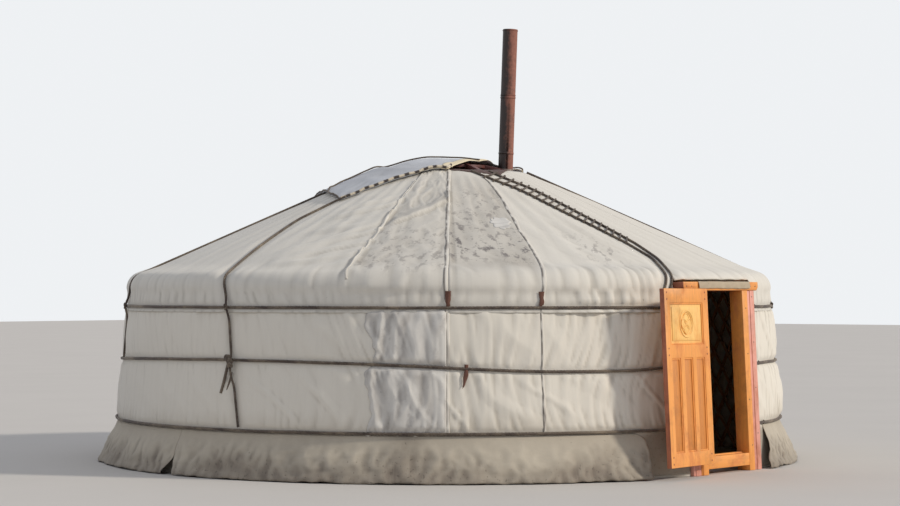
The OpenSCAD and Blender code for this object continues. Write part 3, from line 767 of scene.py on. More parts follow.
# The roof ropes: stops of length from the crown, azimuth, and height over the cover.
upperU, middleU, lowerU = [lengthAtHeight(z) for z in (topRope, midRope, lowRope)]
over = tent["girthD"] + tent["seat"]
ropeRoutes = {
    "left": [(0.700, 177.0, 0.020), (0.760, 175.2, 0.012), (0.820, 173, 0), (1.170, 171.5, 0),
             (1.750, 175, 0), (roofLen - 0.090, 178.5, 0),
             (upperU - 0.086, 180.5, 0), (upperU - 0.026, 181, over), (upperU + 0.026, 181.2, over),
             (upperU + 0.086, 181.4, 0), (middleU - 0.086, 182.4, 0), (middleU - 0.026, 182.6, over),
             (middleU + 0.090, 183, over), (middleU + 0.150, 183.3, 0), (lowerU - 0.026, 184.6, 0)],
    "back": [(0.500, 143, 0), (1.200, 143, 0), (roofLen - 0.090, 143, 0), (upperU - 0.086, 143, 0),
             (upperU - 0.026, 143, over), (upperU + 0.026, 143, over), (upperU + 0.086, 143, 0),
             (middleU - 0.026, 143, 0)],
    "lace": [(0.040, 241, 0), (0.180, 246, 0), (0.315, 250.6, 0), (0.430, 254.4, 0), (0.600, 257, 0),
             (0.963, 259.5, 0), (1.350, 261.5, 0), (1.720, 262.5, 0),
             (2.060, 261.8, 0), (roofLen - 0.050, 259.2, 0), (roofLen + arcLen + 0.030, 256.8, 0),
             (upperU - 0.026, 256.6, 0)],
    "front": [(0.010, 297, 0), (0.250, 301, 0), (0.900, 303.5, 0), (roofLen - 0.090, 306.5, 0),
              (upperU - 0.086, 307.5, 0), (upperU - 0.026, 307.7, over), (upperU + 0.030, 307.9, over)],
    "tail": [(middleU + 0.048, 182.85, 0.020), (middleU + 0.077, 182.6, 0.009),
             (middleU + 0.127, 182.2, 0.0042), (middleU + 0.192, 181.8, 0.0042),
             (middleU + 0.262, 181.5, 0.0042)],
}


def mirrored(route):
    return [(u, 180 - az, lift) for u, az, lift in route]


def routePoints(route, diameter, step=0.03):
    out = []
    for (u0, a0, l0), (u1, a1, l1) in zip(route, route[1:]):
        n = max(1, math.ceil((u1 - u0) / step))
        for k in range(n):
            f = k / n
            out.append((u0 + (u1 - u0) * f, a0 + (a1 - a0) * f, l0 + (l1 - l0) * f))
    out.append(route[-1])
    for _ in range(3):      # soften the corners, ends kept
        out = [out[0]] + [tuple((a[k] + 2 * b[k] + c[k]) / 4 for k in range(3))
                          for a, b, c in zip(out, out[1:], out[2:])] + [out[-1]]
    return [coverPoint(u, az, diameter / 2 + lift) for u, az, lift in out]


def routeAzimuth(route, u):
    if u <= route[0][0]:
        return route[0][1]
    for (u0, a0, _), (u1, a1, _) in zip(route, route[1:]):
        if u <= u1:
            return a0 + (a1 - a0) * (u - u0) / (u1 - u0)
    return route[-1][1]


tailRope = {"diameter": 0.016, "material": "rope", "step": 0.005}
tailPoints = routePoints(ropeRoutes["tail"], 0.0)
tailPiece, tailUsed = makeRope("ropeTail", [tailPoints], tailRope["diameter"], tailRope["material"],
                               step=tailRope["step"], twist=0.05, fray=0.25)
claim(tailPiece, "rope_tail")
tailLength = lineLength(tailUsed[0])
tuple(tailUsed[0][0])
[tuple(p) for p in tailUsed[0][::3] + tailUsed[0][-1:]]
print("loose tail hung,", round(tailLength, 3), "m")


# The covers. One height map gives how far the cloth stands off its rest line at any place,
# so that seams, ropes and hems can follow it.
coverShape = {
    "wallBulge": 0.018, "gather": 0.019, "poleRidge": 0.0022, "roofWave": 0.009,
    "shoulderPuff": 0.009, "hemFlare": 0.012, "wallStep": 0.018, "roofStep": 0.023, "thick": 0.004,
    "gap": 0.0043,      # the wall cloth's rest line lies this far inside the outline
}
# half the doorway in degrees, and the pitch of the 70 poles that stand on the lattice
doorA = math.degrees(math.asin(0.548 / wallAt(1.603, 0.0589)))
polePitch = (360 - 2 * doorA) / 70
allRoutes = [ropeRoutes["front"], ropeRoutes["left"], mirrored(ropeRoutes["left"]), ropeRoutes["back"],
             mirrored(ropeRoutes["back"])]


def laceHalf(u):
    # half the distance between the two ropes
    return 0.086 - 0.026 * smooth(0.9, 1.7, u) - 0.028 * smooth(1.6, 2.1, u)


laceSides = [[(u, az + sign * math.degrees(laceHalf(u) / profile(u).x), lift)
              for u, az, lift in ropeRoutes["lace"]] for sign in (-1, 1)]
# each route's azimuth at even steps of length, looked up many times below
tableStep, tableCount = 0.02, 200
routeTable = [(r[0][0], r[-1][0], [routeAzimuth(r, k * tableStep) % 360 for k in range(tableCount)])
              for r in allRoutes + laceSides]


def ropeClear(u, az, r):
    # 0 under a roof rope, 1 away from all of them
    d, k = 1.0, min(tableCount - 2, int(u / tableStep))
    for u0, u1, angles in routeTable:
        if u0 - 0.12 < u < u1 + 0.05:
            a = angles[k] + (angles[k + 1] - angles[k]) * (u / tableStep - k)
            gap = math.radians(abs((az - a + 180) % 360 - 180)) * r
            if gap < 0.13:
                d = min(d, smooth(0.012, 0.13, gap))
    return d


def middleHeight(az):
    # the middle rope is pulled up a little to its knot on the left
    a = az % 360
    if a > 258.9:
        return midRope
    h = midRope + 0.058 * between(a, 120, 182.6, 182.6, 236) ** 0.8
    return h - 0.026 * between(a, 205, 240, 248, 258.9)


def ropeDistance(z, az):
    # up or down the wall to the nearest girth rope
    return min(abs(z - b) for b in (lowRope, middleHeight(az), topRope))


def wallOffset(z, az):
    # how far the wall cloth stands off its rest line
    a = az % 360
    mid = middleHeight(a)
    bands = (0.02, lowRope, mid, topRope, 1.60)
    if z < bands[1]:
        return 0.0
    near = min(abs(z - b) for b in bands[1:4])
    for band, (lo, hi) in enumerate(zip(bands, bands[1:])):
        if lo <= z <= hi:
            t = (z - lo) / (hi - lo)
            break
    else:
        t = 0.0
    belly = 1 + 1.1 * between(a, 283, 296, 312, 345)
    bulge = coverShape["wallBulge"] * belly * (1 + 0.5 * around(az, 1.6, z * 0.7, 3))
    bulge *= math.sin(math.pi * t) ** 0.8
    strength = 0.50 + 0.7 * max(0.0, around(az, 1.4, 0.0, 1) + 0.3)
    strength += 0.9 * between(a, 232, 246, 262, 270) + 0.6 * between(a, 280, 290, 320, 340)
    strength += 0.3 * between(a, 219, 222, 230, 234)
    drift = az + 5.0 * around(az, 2.2, z * 1.1, 44)       # creases run a little aslant
    fine = folds(drift, 18.0, z * 0.8, 5) * 0.50 + max(0.0, folds(drift, 38.0, z * 1.6, 9)) ** 2 * 0.60
    gather = coverShape["gather"] * strength * fine * (0.20 + 0.80 * math.exp(-near / 0.13))
    # long folds that slant down between two ropes
    aslant = folds(az + z * (26.0 - 9.0 * band) + 3 * around(az, 5.0, z * 3, 50), 8.0, z * 0.6, 47 + band)
    gather += 0.026 * strength * max(0.0, aslant - 0.62) * math.sin(math.pi * t)
    slack = 0.007 * around(az, 4.0, z * 1.9, 14)
    pinch = smooth(0.004, 0.055, near)
    return max(0.0, (bulge + gather + slack) * pinch) * ropeClear(lengthAtHeight(z), az, seamR)


def roofOffset(u, az):
    a = az % 360
    poles = math.cos(2 * math.pi * (a - (doorAz + doorA)) / polePitch + math.pi)
    off = coverShape["poleRidge"] * (1 + poles) * smooth(0.05, 0.5, u)
    billow = 0.5 + 0.5 * around(az, 2.0, u * 1.1, 2) + 0.35 * around(az, 5.5, u * 1.3, 8)
    off += coverShape["roofWave"] * billow
    off += 0.0045 * max(0.0, folds(az, 9.0, u * 0.9, 12)) * smooth(0.0, 0.4, u)
    edge = smooth(roofLen - 0.22, roofLen + 0.02, u)
    gathered = 0.7 + 1.7 * between(a, 233, 240, 256, 262)
    puff = 1 + gathered * folds(az, 13.0, 2.0, 17) + 0.6 * gathered * folds(az, 34.0, 2.0, 18)
    off += edge * max(0.0, coverShape["shoulderPuff"] * puff)
    if 170 < a < 203:           # long slanting wrinkles left of the loose gore
        line = folds((a - 190) * 1.6 + u * 66, 3.1, (a - 190) * 0.035 - u * 0.25, 43)
        off += 0.024 * smooth(0.35, 0.98, line) * between(u, 0.5, 0.9, 2.2, 2.5) * smooth(180, 188, a)
    if 202.0 < a < 219.5:       # the loose gore: its edge stands up and a layer ends in a slanting fold
        off += 0.006 * smooth(202.0, 202.6, a) * between(u, 0.5, 0.7, 2.35, 2.50)
        foldU = 0.86 + (218.6 - a) * 0.0385 + 0.03 * around(az, 10.0, 0.0, 49)
        rise = smooth(foldU + 0.035, foldU, u) * smooth(foldU - 0.34, foldU - 0.02, u)
        off += 0.026 * rise * smooth(203.0, 206.0, a)
        off += 0.010 * max(0.0, folds(az, 9.0, u * 2.5, 41))
        off += 0.009 * max(0.0, folds(az, 20.0, u * 5.0, 42) - 0.3)
    if 219.5 < a < 236:
        off += 0.006 * max(0.0, folds(az, 12.0, u * 4.5, 45) - 0.35) * smooth(0.3, 0.7, u)
    if 236 < a < 262:           # soft creases from the lacing down to the shoulder
        line = folds((a - 236) * 2.0 - u * 20, 4.0, u * 0.4, 46)
        off += 0.016 * max(0.0, line - 0.6) * between(u, 0.7, 1.3, 2.3, 2.5)
    return off


def valanceOffset(z, az):
    a = az % 360
    strength = 0.7 + 1.6 * between(a, 233, 240, 256, 262) + 0.5 * around(az, 1.3, 2.0, 6)
    strength += 0.6 * between(a, 282, 290, 320, 340)
    drift = az + 2.5 * around(az, 3.4, z * 2.0, 48)
    pleats = 0.30 * folds(drift, 13.0, z * 0.9, 19) + 0.80 * max(0.0, folds(drift, 40.0, z * 1.5, 23)) ** 2
    above = smooth(topRope, 1.60, z)
    pinch = smooth(0.004, 0.05, abs(z - topRope))
    hem = coverShape["hemFlare"] * (0.5 + 0.5 * around(az, 10.0, 0.0, 29))
    hem *= 1 - smooth(valanceZ, topRope, z)
    return max(0.0, (0.004 + 0.0150 * strength * (0.30 + pleats) * (1 - 0.35 * above) + hem) * pinch)


def coverOffset(u, az):
    # how far the outer cloth stands off the outline, all over the roof, shoulder and valance
    p = profile(u)
    if u > roofLen + arcLen:
        off = valanceOffset(p.y, az)
        top = roofOffset(roofLen + arcLen, az)
        off = top + (off - top) * smooth(0.0, 0.07, u - roofLen - arcLen)
    else:
        off = roofOffset(u, az)
    return off * ropeClear(u, az, p.x)


def wallGrime(z, az):
    a = az % 360
    seam = bell(a, 218.7, 0.7) * (0.5 + 0.5 * wave(z * 3, 5, 1)) * 0.6
    seam += 0.25 * bell(a, 233.5, 0.5) * (0.6 + 0.6 * wave(z * 4, 8, 1))
    foot = 0.45 * (1 - smooth(0.40, 0.60, z + 0.08 * around(az, 6.0, 1.0)))
    hem = 0.25 * smooth(1.25, 1.40, z) * max(0.0, around(az, 9.0, 4.0, 4) + 0.3)
    heavy = foot + hem + seam * 0.6
    mud = 0.80 * (1 - smooth(0.34, 0.405, z + 0.03 * around(az, 14.0, 0.0, 71)))
    return min(1.0, heavy + mud), unit(seam * 0.9 + 0.5 * (foot - 0.35) + mud)


def goreSeam(u):
    # azimuth of the seam right of the dabbed gore
    return 240.2 - 2.6 * smooth(0.3, 1.1, u) - 3.1 * smooth(0.9, 2.6, u)


def roofGrimeAndShade(u, az):
    a = az % 360
    r = profile(u).x
    dabbed = smooth(218.8, 219.4, a) * (1 - smooth(goreSeam(u) - 0.8, goreSeam(u) + 0.2, a))
    loose = between(a, 202.5, 203.5, 218.2, 219)
    length = between(u, 0.05, 0.35, 2.2, 2.55)
    heavy = 0.10 + dabbed * length * (0.42 + 0.5 * max(0.0, around(az, 8.0, u * 3, 60)))
    heavy += loose * length * (0.26 + 0.5 * max(0.0, around(az, 7.0, u * 2.5, 61)))
    foldU = 0.86 + (218.6 - a) * 0.0385
    worn = dabbed * length * (0.13 + 0.16 * around(az, 9.0, u * 3, 69)) + loose * length * 0.05
    # painted shadow above the ridge of the gore's slanting fold
    worn += loose * 0.34 * between(u, foldU - 0.26, foldU - 0.10, foldU - 0.05, foldU)
    sooty = 1 - smooth(0.030, 0.065, u + 0.02 * around(az, 9.0, 0.0, 70))
    worn += 0.9 * between(a, 213, 218, 262, 266) * sooty
    heavy += 0.30 * between(a, 240, 246, 255, 258) * max(0.0, around(az, 7.0, u * 2, 67)) * length
    seam = math.exp(-((a - 219.0) / (0.55 * 2.8 / r)) ** 2) * (0.45 + 0.6 * wave(u * 4, 3, 1))
    shadow = 0.10 * smooth(roofLen + arcLen, roofLen + arcLen + 0.2, u)
    dabs = dabbed * between(u, 0.35, 0.8, 2.0, 2.35)
    dabs *= 0.55 + 0.45 * bell(u, 1.9, 0.25) + 0.4 * around(az, 6.0, u * 2.2, 68)
    dabs += 0.50 * loose * between(u, 1.2, 1.7, 2.3, 2.5)
    dabs += 0.55 * between(a, 243, 248, 252, 256) * bell(u, 1.9, 0.35)
    return unit(heavy + seam * 0.3 + shadow), unit(seam * 0.4 + worn), unit(dabs)


def paintCreaseShade(verts, vertexMarks, rows, columns, reach=2):
    # painted shade where the cloth dips between its folds, and the ridges of the folds painted a little lighter
    n = columns + 1
    for i in range(rows + 1):
        for j in range(reach, n - reach):
            k = i * n + j
            v = verts[k]
            lean = smooth(1.55, 1.85, v.z)
            out = Vector((v.x, v.y, 0)).normalized() * (1 - 0.5 * lean) + Vector((0, 0, 0.88 * lean))
            dip = ((verts[k - reach] + verts[k + reach]) / 2 - v).dot(out)
            g = vertexMarks[k]
            vertexMarks[k] = (unit(g[0] + max(-0.12, min(0.25, dip * 40))),
                        min(1.0, g[1] + 0.34 * smooth(0.0004, 0.0055, dip)), *g[2:])


def clothGrid(name, rows, columns, place, tint, material):
    # a sheet from place(i, j) over rows and columns, its UV in metres
    verts, uvs, vertexMarks, faces = [], [], [], []
    for i in range(rows + 1):
        for j in range(columns + 1):
            v, uv = place(i / rows, j / columns)
            verts.append(v)
            uvs.append(uv)
            vertexMarks.append(tint(i / rows, j / columns))
    for i in range(rows):
        for j in range(columns):
            a = i * (columns + 1) + j
            faces.append((a, a + columns + 1, a + columns + 2, a + 1))
    # painted shade in the creases
    paintCreaseShade(verts, vertexMarks, rows, columns)
    return meshFrom(name, verts, faces, mats[material], uvs, vertexMarks)


def thicken(piece, thickness, offset=-1.0):
    onlySelect(piece)
    s = piece.modifiers.new("wall", "SOLIDIFY")
    s.thickness = thickness
    s.offset = offset
    s.use_even_offset = False
    bpy.ops.object.modifier_apply(modifier=s.name)
    return piece


def jambEdge(z, side, x=0.552):
    # azimuth at which the wall cloth meets the door casing
    return doorAz + side * math.degrees(math.asin(x / wallAt(z, 0.004)))


def makeWallSheet(number, a0, a1):
    low, high = 0.022, wallTop - 0.002
    rows = round((high - low) / coverShape["wallStep"])
    columns = round(math.radians(a1 - a0) * clothR / coverShape["wallStep"])

    def where(fi, fj):
        z = high + (low - high) * fi
        start = jambEdge(z, 1) - 360 if number == 1 else a0
        end = jambEdge(z, -1) if number == 4 else a1
        return z, start + (end - start) * fj

    def place(fi, fj):
        z, az = where(fi, fj)
        off = wallOffset(z, az) if z < topRope else 0.0
        return polar(wallAt(z, coverShape["gap"]) + off, az, z), (math.radians(az) * clothR, z)

    piece = clothGrid(f"wallCanvas{number}", rows, columns, place,
                      lambda i, j: wallGrime(*where(i, j)), "canvas")
    claim(thicken(piece, coverShape["thick"]), f"wall_canvas_{number}")


for wallSheet in ((1, -79.8, 40), (2, 40, 130), (3, 130, 219), (4, 219, 259.8)):
    makeWallSheet(*wallSheet)
print("wall cloths hung")


def makeRoofPart(name, a0, a1, endU, lowEdge=None):
    rows = round(endU / coverShape["roofStep"])
    columns = round(math.radians(a1 - a0) * seamR / coverShape["roofStep"])
    middle = {"roofCanvas2": 18, "roofCanvas3": 205, "roofCanvas4": 232}.get(name, -82)

    def where(fi, fj):
        u = 0.001 + (endU - 0.001) * fi
        start, end = a0, a1
        if lowEdge and u > roofLen:
            start, end = lowEdge(u, a0, a1)
        return u, start + (end - start) * fj

    def place(fi, fj):
        u, az = where(fi, fj)
        off = coverOffset(u, az)
        if u > endU - 0.03:     # a doubled hem
            off += 0.003
        return coverPoint(u, az, off), (math.radians(az - middle) * profile(u).x, u)

    return clothGrid(name, rows, columns, place, lambda i, j: roofGrimeAndShade(*where(i, j)), "roof")


fullU = lengthAtHeight(valanceZ)
doorU = roofLen + 0.084


def rightOfDoor(u, a0, a1):
    cut = doorAz - 360 + math.degrees(math.asin(tent["valanceCut"] / profile(u).x))
    return a0 + (cut - a0) * smooth(doorU - 0.012, doorU + 0.012, u), a1


def leftOfDoor(u, a0, a1):
    cut = doorAz - math.degrees(math.asin(tent["valanceCut"] / profile(u).x))
    return a0, a1 + (cut - a1) * smooth(doorU - 0.012, doorU + 0.012, u)


def makeRoofSheets():
    lintelA = math.degrees(math.asin(0.600 / tent["wallR"]))
    cuts = [(-90 - lintelA, -53), (-53, 90), (90, 219), (219, doorAz - lintelA)]
    for n, (a0, a1) in enumerate(cuts, 1):
        if n == 1:
            piece = makeRoofPart("roofCanvas1", a0, -90 + lintelA, doorU)
            addMesh(piece, makeRoofPart("side", -90 + lintelA, a1, fullU, rightOfDoor))
        elif n == 4:
            piece = makeRoofPart("roofCanvas4", a0, a1, fullU, leftOfDoor)
        else:
            piece = makeRoofPart(f"roofCanvas{n}", a0, a1, fullU)
        editMesh(piece, merge=0.0004)
        claim(thicken(piece, coverShape["thick"]), f"roof_canvas_{n}")


makeRoofSheets()
print("roof cloths laid")


# Seams and mends: strips of doubled cloth along routes of (length from the crown, azimuth).
seamShape = {
    "width": 0.032, "lift": 0.0040, "step": 0.012,
    "roof": {
        "seamLeft": [(0.02, 219.3), (0.90, 219.0), (1.50, 218.8), (2.40, 218.7), (fullU - 0.006, 218.7)],
        "seamRight": [(0.04, 240.4), (0.55, 239.6), (0.975, 237.8), (1.445, 236.3), (1.84, 235.8),
                      (2.223, 235.2), (2.457, 234.2), (fullU - 0.006, 233.8)],
        "goreEdge": [(0.30, 201.6), (0.773, 202.0), (1.249, 202.8), (1.649, 202.7), (2.087, 202.3),
                     (2.403, 202.5), (2.480, 202.9)],
        "seamBack": [(0.90, 90.0), (1.70, 90.3), (2.40, 90.0), (fullU - 0.006, 90.0)],
        "seamFarLeft": [(0.30, 321.0), (0.90, 321.2), (1.80, 320.8), (fullU - 0.006, 321.0)],
        "seamFarRight": [(0.30, 307.0), (1.20, 306.8), (2.20, 307.2), (fullU - 0.006, 307.0)],
        "seamSide": [(0.50, 40.0), (1.50, 39.7), (fullU - 0.006, 40.0)],
    },
    "wall": {
        "wallSeamLeft": (218.9, 0.034), "wallSeamRight": (233.7, 0.024), "wallSeamBack": (130.0, 0.034),
        "wallSeamSide": (40.0, 0.034), "wallSeamFar": (306.0, 0.026),
    },
    # azimuth, top, bottom, width and the length of the cut
    "straps": {
        "strapLeft": (219.0, 1.565, 1.436, 0.052, 0.13), "strapRight": (233.7, 1.560, 1.437, 0.040, 0.125),
        "strapEnd": (221.8, 0.968, 0.780, 0.036, 0.19),
    },
    # azimuths and heights of the crumpled patch, and the azimuths of the binding on the rim
    "patch": (206.9, 218.75, 1.424, 0.392), "rimBand": (213.0, 266.0),
    # length from the crown, azimuth and half the size up and across
    "mend": (1.31, 232.6, 0.13, 0.085),
}

# where the canvases meet, once round from the door
coverEnds = {"roofCanvas": (270, 307, 450, 579, 630), "wallCanvas": (278, 400, 490, 579, 622)}


def coversUnder(kind, a0, a1):
    # the names of the canvas pieces that lie under the azimuths a0 to a1
    turn = 360 if a0 < doorAz else 0
    ends = coverEnds[kind]
    return [f"{kind}{n}" for n in range(1, 5) if a1 + turn > ends[n - 1] and a0 + turn < ends[n]]


def wallPoint(z, az, lift):
    return polar(wallAt(z, coverShape["gap"]) + wallOffset(z, az) + lift, az, z)


def makeRimBand():
    # the sooty binding that holds the roof cloth to the front of the crown rim
    a0, a1 = seamShape["rimBand"]

    def at(fi, fj):
        az = a0 + (a1 - a0) * fi
        wide = 0.030 + 0.085 * smooth(222, 250, az) + 0.012 * wave(az * 0.4, 1.0, 74)
        u = 0.002 + wide * fj * smooth(0.0, 0.22, min(fi, 0.7 * (1 - fi)) + 0.02)
        lift = 0.003 + 0.003 * math.sin(math.pi * fj) + 0.003 * max(0.0, wave(az * 0.9, fj, 75))
        return coverPoint(u, az, coverOffset(u, az) + lift), (math.radians(az) * 0.75, u)

    band = clothGrid("rimBand", 72, 6, at, lambda i, j: (0.3, 0.3 * abs(wave(i * 20, j * 2, 76))), "soot")
    return thicken(band, 0.003, 0.0)


def stripTint(run, across, heavy, key):
    # dark stitches along one edge, pale elsewhere
    stitch = unit((wave(run * 11.0, key, 51) + 0.30) * 3.0) if across < 0.40 else 0.0
    spot = max(0.0, wave(run * 4.0, key, 52) - 0.10) * 1.6
    return min(1.0, 0.15 + 0.5 * spot), min(1.0, heavy * (stitch + 0.4 * spot)), 0.0


def makeStrip(name, length, at, tint):
    # at(i, j) gives a point and its UV along and across the strip
    return thicken(clothGrid(name, round(length / seamShape["step"]), 6, at, tint, "seam"), 0.003, 0.0)


def makeSeams():
    crossLift = (0.15, 0.85, 1.0, 0.95, 0.95, 0.85, 0.15)
    roofStrips, wallStrips = [], []
    for key, (name, route) in enumerate(seamShape["roof"].items()):
        u0, u1 = route[0][0], route[-1][0]
        width = seamShape["width"] * (0.62 if name == "goreEdge" else 1.0)
        stops = [(u, az, 0) for u, az in route]

        def at(i, j):
            u = u0 + (u1 - u0) * i
            r = profile(u).x
            az = routeAzimuth(stops, u) + math.degrees(0.010 * wave(u * 3.0, key, 53) / r)
            az += math.degrees((j - 0.5) * width * (1 + 0.25 * wave(u * 6, key, 54)) / r)
            bandGap = smooth(0.0, 0.030, abs(profile(u).y - topRope))
            lift = seamShape["lift"] * crossLift[round(j * 6)] * (0.3 + 0.7 * bandGap)
            return coverPoint(u, az, coverOffset(u, az) + lift), (j * width, u)

        heavy = {"goreEdge": 0.25, "seamLeft": 0.9, "seamRight": 0.9}.get(name, 0.4)
        roofStrips.append(makeStrip(name, u1 - u0, at,
                                    lambda i, j: stripTint(u0 + (u1 - u0) * i, j, heavy, key)))
    for key, (name, (az0, width)) in enumerate(seamShape["wall"].items()):
        top, low = 1.425, 0.400

        def at(i, j):
            z = top + (low - top) * i
            az = az0 + math.degrees(0.008 * wave(z * 3, key, 55) / seamR)
            az += math.degrees((j - 0.5) * width * (1 + 0.25 * wave(z * 6, key, 56)) / seamR)
            lift = seamShape["lift"] * crossLift[round(j * 6)] * smooth(0.0, 0.035, ropeDistance(z, az))
            return wallPoint(z, az, lift), (j * width, z)

        wallStrips.append(makeStrip(name, top - low, at, lambda i, j: stripTint(3 + i, j, 1.0, key + 9)))
    return roofStrips, wallStrips


def makePatches():
    # the crumpled cloth laid over the wall left of the first seam
    a0, a1, top, low = seamShape["patch"]

    def at(fi, fj):
        z = top + (low - top) * fi
        ragged = 1.5 * wave(z * 4.2, 1.0, 57) + 0.6 * wave(z * 14.0, 2.0, 57)
        az = a0 + ragged * (1 - fj) + (a1 - a0) * fj
        z -= 0.020 * max(0.0, fi - 0.9) * 10 * wave(az * 1.1, 3.0, 58)
        x = math.radians(az) * seamR
        near = ropeDistance(z, az)
        crumple = ridge(x * 7.0 + 0.9 * wave(x * 2, z * 3), z * 1.1, 21) * 0.7
        crumple += ridge(x * 4.0, z * 4.0, 33) * 0.3
        crumple += 0.12 * ridge(x * 15.0, z * 5.0, 34)
        edge = min(fj, 1 - fj) * 12
        lift = 0.004 + 0.023 * max(0.0, crumple) * smooth(0.0, 0.075, near) * min(1.0, 0.35 + edge)
        return wallPoint(z, az, lift), (x, z)

    def tint(fi, fj):
        x, z = math.radians(a0 + (a1 - a0) * fj) * seamR, top + (low - top) * fi
        dark = max(0.0, ridge(x * 6.5, z * 2.2, 50) - 0.55)
        return 0.15 + 0.9 * dark, 0.15 * dark, min(1.0, 0.25 * max(0.0, wave(x * 3, z * 3, 59) + 0.4))

    patch = thicken(clothGrid("wallPatch", 88, 54, at, tint, "patch"), 0.003)

    # a pale mend on the dabbed gore
    mendU, mendAz, halfUp, halfAcross = seamShape["mend"]

    def mendAt(fi, fj):
        x, y = math.cos(2 * math.pi * fj), math.sin(2 * math.pi * fj)
        reach = fi * (1 + 0.5 * wave(x * 2.2, y * 2.2, 62) + 0.2 * wave(x * 6, y * 6, 64))
        u = mendU + halfUp * reach * y
        r = profile(u).x
        az = mendAz + math.degrees(halfAcross * reach * x / r)
        lift = 0.004 * (1 - 0.8 * smooth(0.85, 1.0, fi))
        return coverPoint(u, az, coverOffset(u, az) + lift), (math.radians(az) * r, u)

    mend = clothGrid("roofMend", 10, 48, mendAt, lambda i, j: (0.0, 0.0, 0.35), "mend")
    editMesh(mend, merge=0.0006, outward=True)
    thicken(mend, 0.002, 0.0)
    return patch, mend


def makeStraps():
    # dark cloth tabs over the seams above the upper rope, and the strap end under the middle one
    tabs = []
    for name, (az0, z0, z1, width, _) in seamShape["straps"].items():
        def at(fi, fj):
            z = z0 + (z1 - z0) * fi * (1 + 0.10 * wave(fj * 3, az0, 65) - 0.14 * (fj - 0.3))
            across = (fj - 0.5) * width * (1 + 0.55 * wave(fi * 3, az0, 63) - 0.25 * fi)
            az = az0 + math.degrees(across / seamR)
            if name == "strapEnd":      # bends away to the left as it hangs
                az -= 0.45 * fi * fi
                lift = 0.012 + 0.010 * math.sin(math.pi * fi) + 0.006 * math.sin(math.pi * fj)
                return wallPoint(z, az, lift), (fj * width, z)
            u = lengthAtHeight(z)
            lift = 0.007 + 0.004 * math.sin(math.pi * fj) + 0.006 * fi
            return coverPoint(u, az, coverOffset(u, az) + lift), (fj * width, z)

        tab = clothGrid(name, 14, 6, at, lambda i, j: (0.2, 0.15 * abs(wave(i * 5, j * 4))), "strap")
        tabs.append(thicken(tab, 0.003, 0.0))
    return tabs


roofStrips, wallStrips = makeSeams()
wallPatch, roofMend = makePatches()
straps = makeStraps()
rimBand = makeRimBand()
for piece in roofStrips + wallStrips + [wallPatch, roofMend, rimBand] + straps:
    claim(piece)
for piece in roofStrips:
    route = seamShape["roof"][piece.name]
    under = coversUnder("roofCanvas", route[-1][1] - 0.35, route[-1][1] + 0.35)
    width = 0.022 if piece.name == "goreEdge" else 0.036
for piece in wallStrips:
    az, width = seamShape["wall"][piece.name]
    under = coversUnder("wallCanvas", az - 0.3, az + 0.3)
under = coversUnder("roofCanvas", *seamShape["rimBand"])
for piece in straps:
    under = "wallCanvas4" if piece.name == "strapEnd" else "roofCanvas4"
print("seams and mends sewn on")


# Flap over the back of the crown, doubled canvas with a hem and a rope along its edges.
flapShape = {
    "front": -0.355, "cornerLeft": -0.480, "cornerRight": -0.400, "cornerX": 0.620, "slope": 0.74,
    "back": 1.560, "side": 1.420, "backSide": 0.260, "thick": 0.008, "rope": 0.026, "band": 0.120,
    "bandHalf": 0.86, "pipeX": 0.350, "pipeRoom": 0.075,
}


def flapHeight(x, y):
    r = math.hypot(x, y)
    az = math.degrees(math.atan2(y, x))
    spoke = abs(((az - 22.5) % 45) - 22.5) / 22.5       # 1 on a spoke, 0 between two
    dome = domeZ(min(r, 0.64)) + 0.012 - 0.016 * (1 - spoke) * between(r, 0.12, 0.35, 0.5, 0.66)
    u = max(0.0, (r - tent["rimR"]) / cosP)
    roof = roofAt(max(r, 0.60), -0.010) + coverOffset(u, az) / cosP
    z = dome + (roof - dome) * smooth(0.60, 0.78, r)
    creases = 0.014 * ridge(x * 2.2 + 0.3, y * 3.0, 71) + 0.007 * wave(x * 6, y * 5, 72)
    z += 0.030 * bell(x, -0.30, 0.34) * bell(y, 0.22, 0.30)     # stands up where it is folded
    z += 0.034 * bell(x, 0.25, 0.48) * bell(y, -0.36, 0.17)     # and arches over the hole
    return z + 0.006 + max(0.0, creases) * smooth(0.5, 0.9, r) * (1 - 0.7 * smooth(1.2, 1.4, r))


def flapFront(x):
    # the front edge crosses the crown before its middle and slants back on both sides
    a = abs(x)
    corner = flapShape["cornerLeft"] if x < 0 else flapShape["cornerRight"]
    y = flapShape["front"] + (corner - flapShape["front"]) * smooth(0.34, flapShape["cornerX"], a)
    y += flapShape["pipeRoom"] * bell(x, flapShape["pipeX"], 0.13)
    y += flapShape["slope"] * max(0.0, a - flapShape["cornerX"])
    return y + 0.012 * wave(x * 4, 3.0)


def flapPoint(s, t):
    x = s * (flapShape["side"] + (flapShape["backSide"] - flapShape["side"]) * t ** 1.15)
    front = flapFront(s * flapShape["side"])
    return x, front + (flapShape["back"] - front) * t


def onFlap(x, y, lift):
    return Vector((x, y, flapHeight(x, y) + lift))


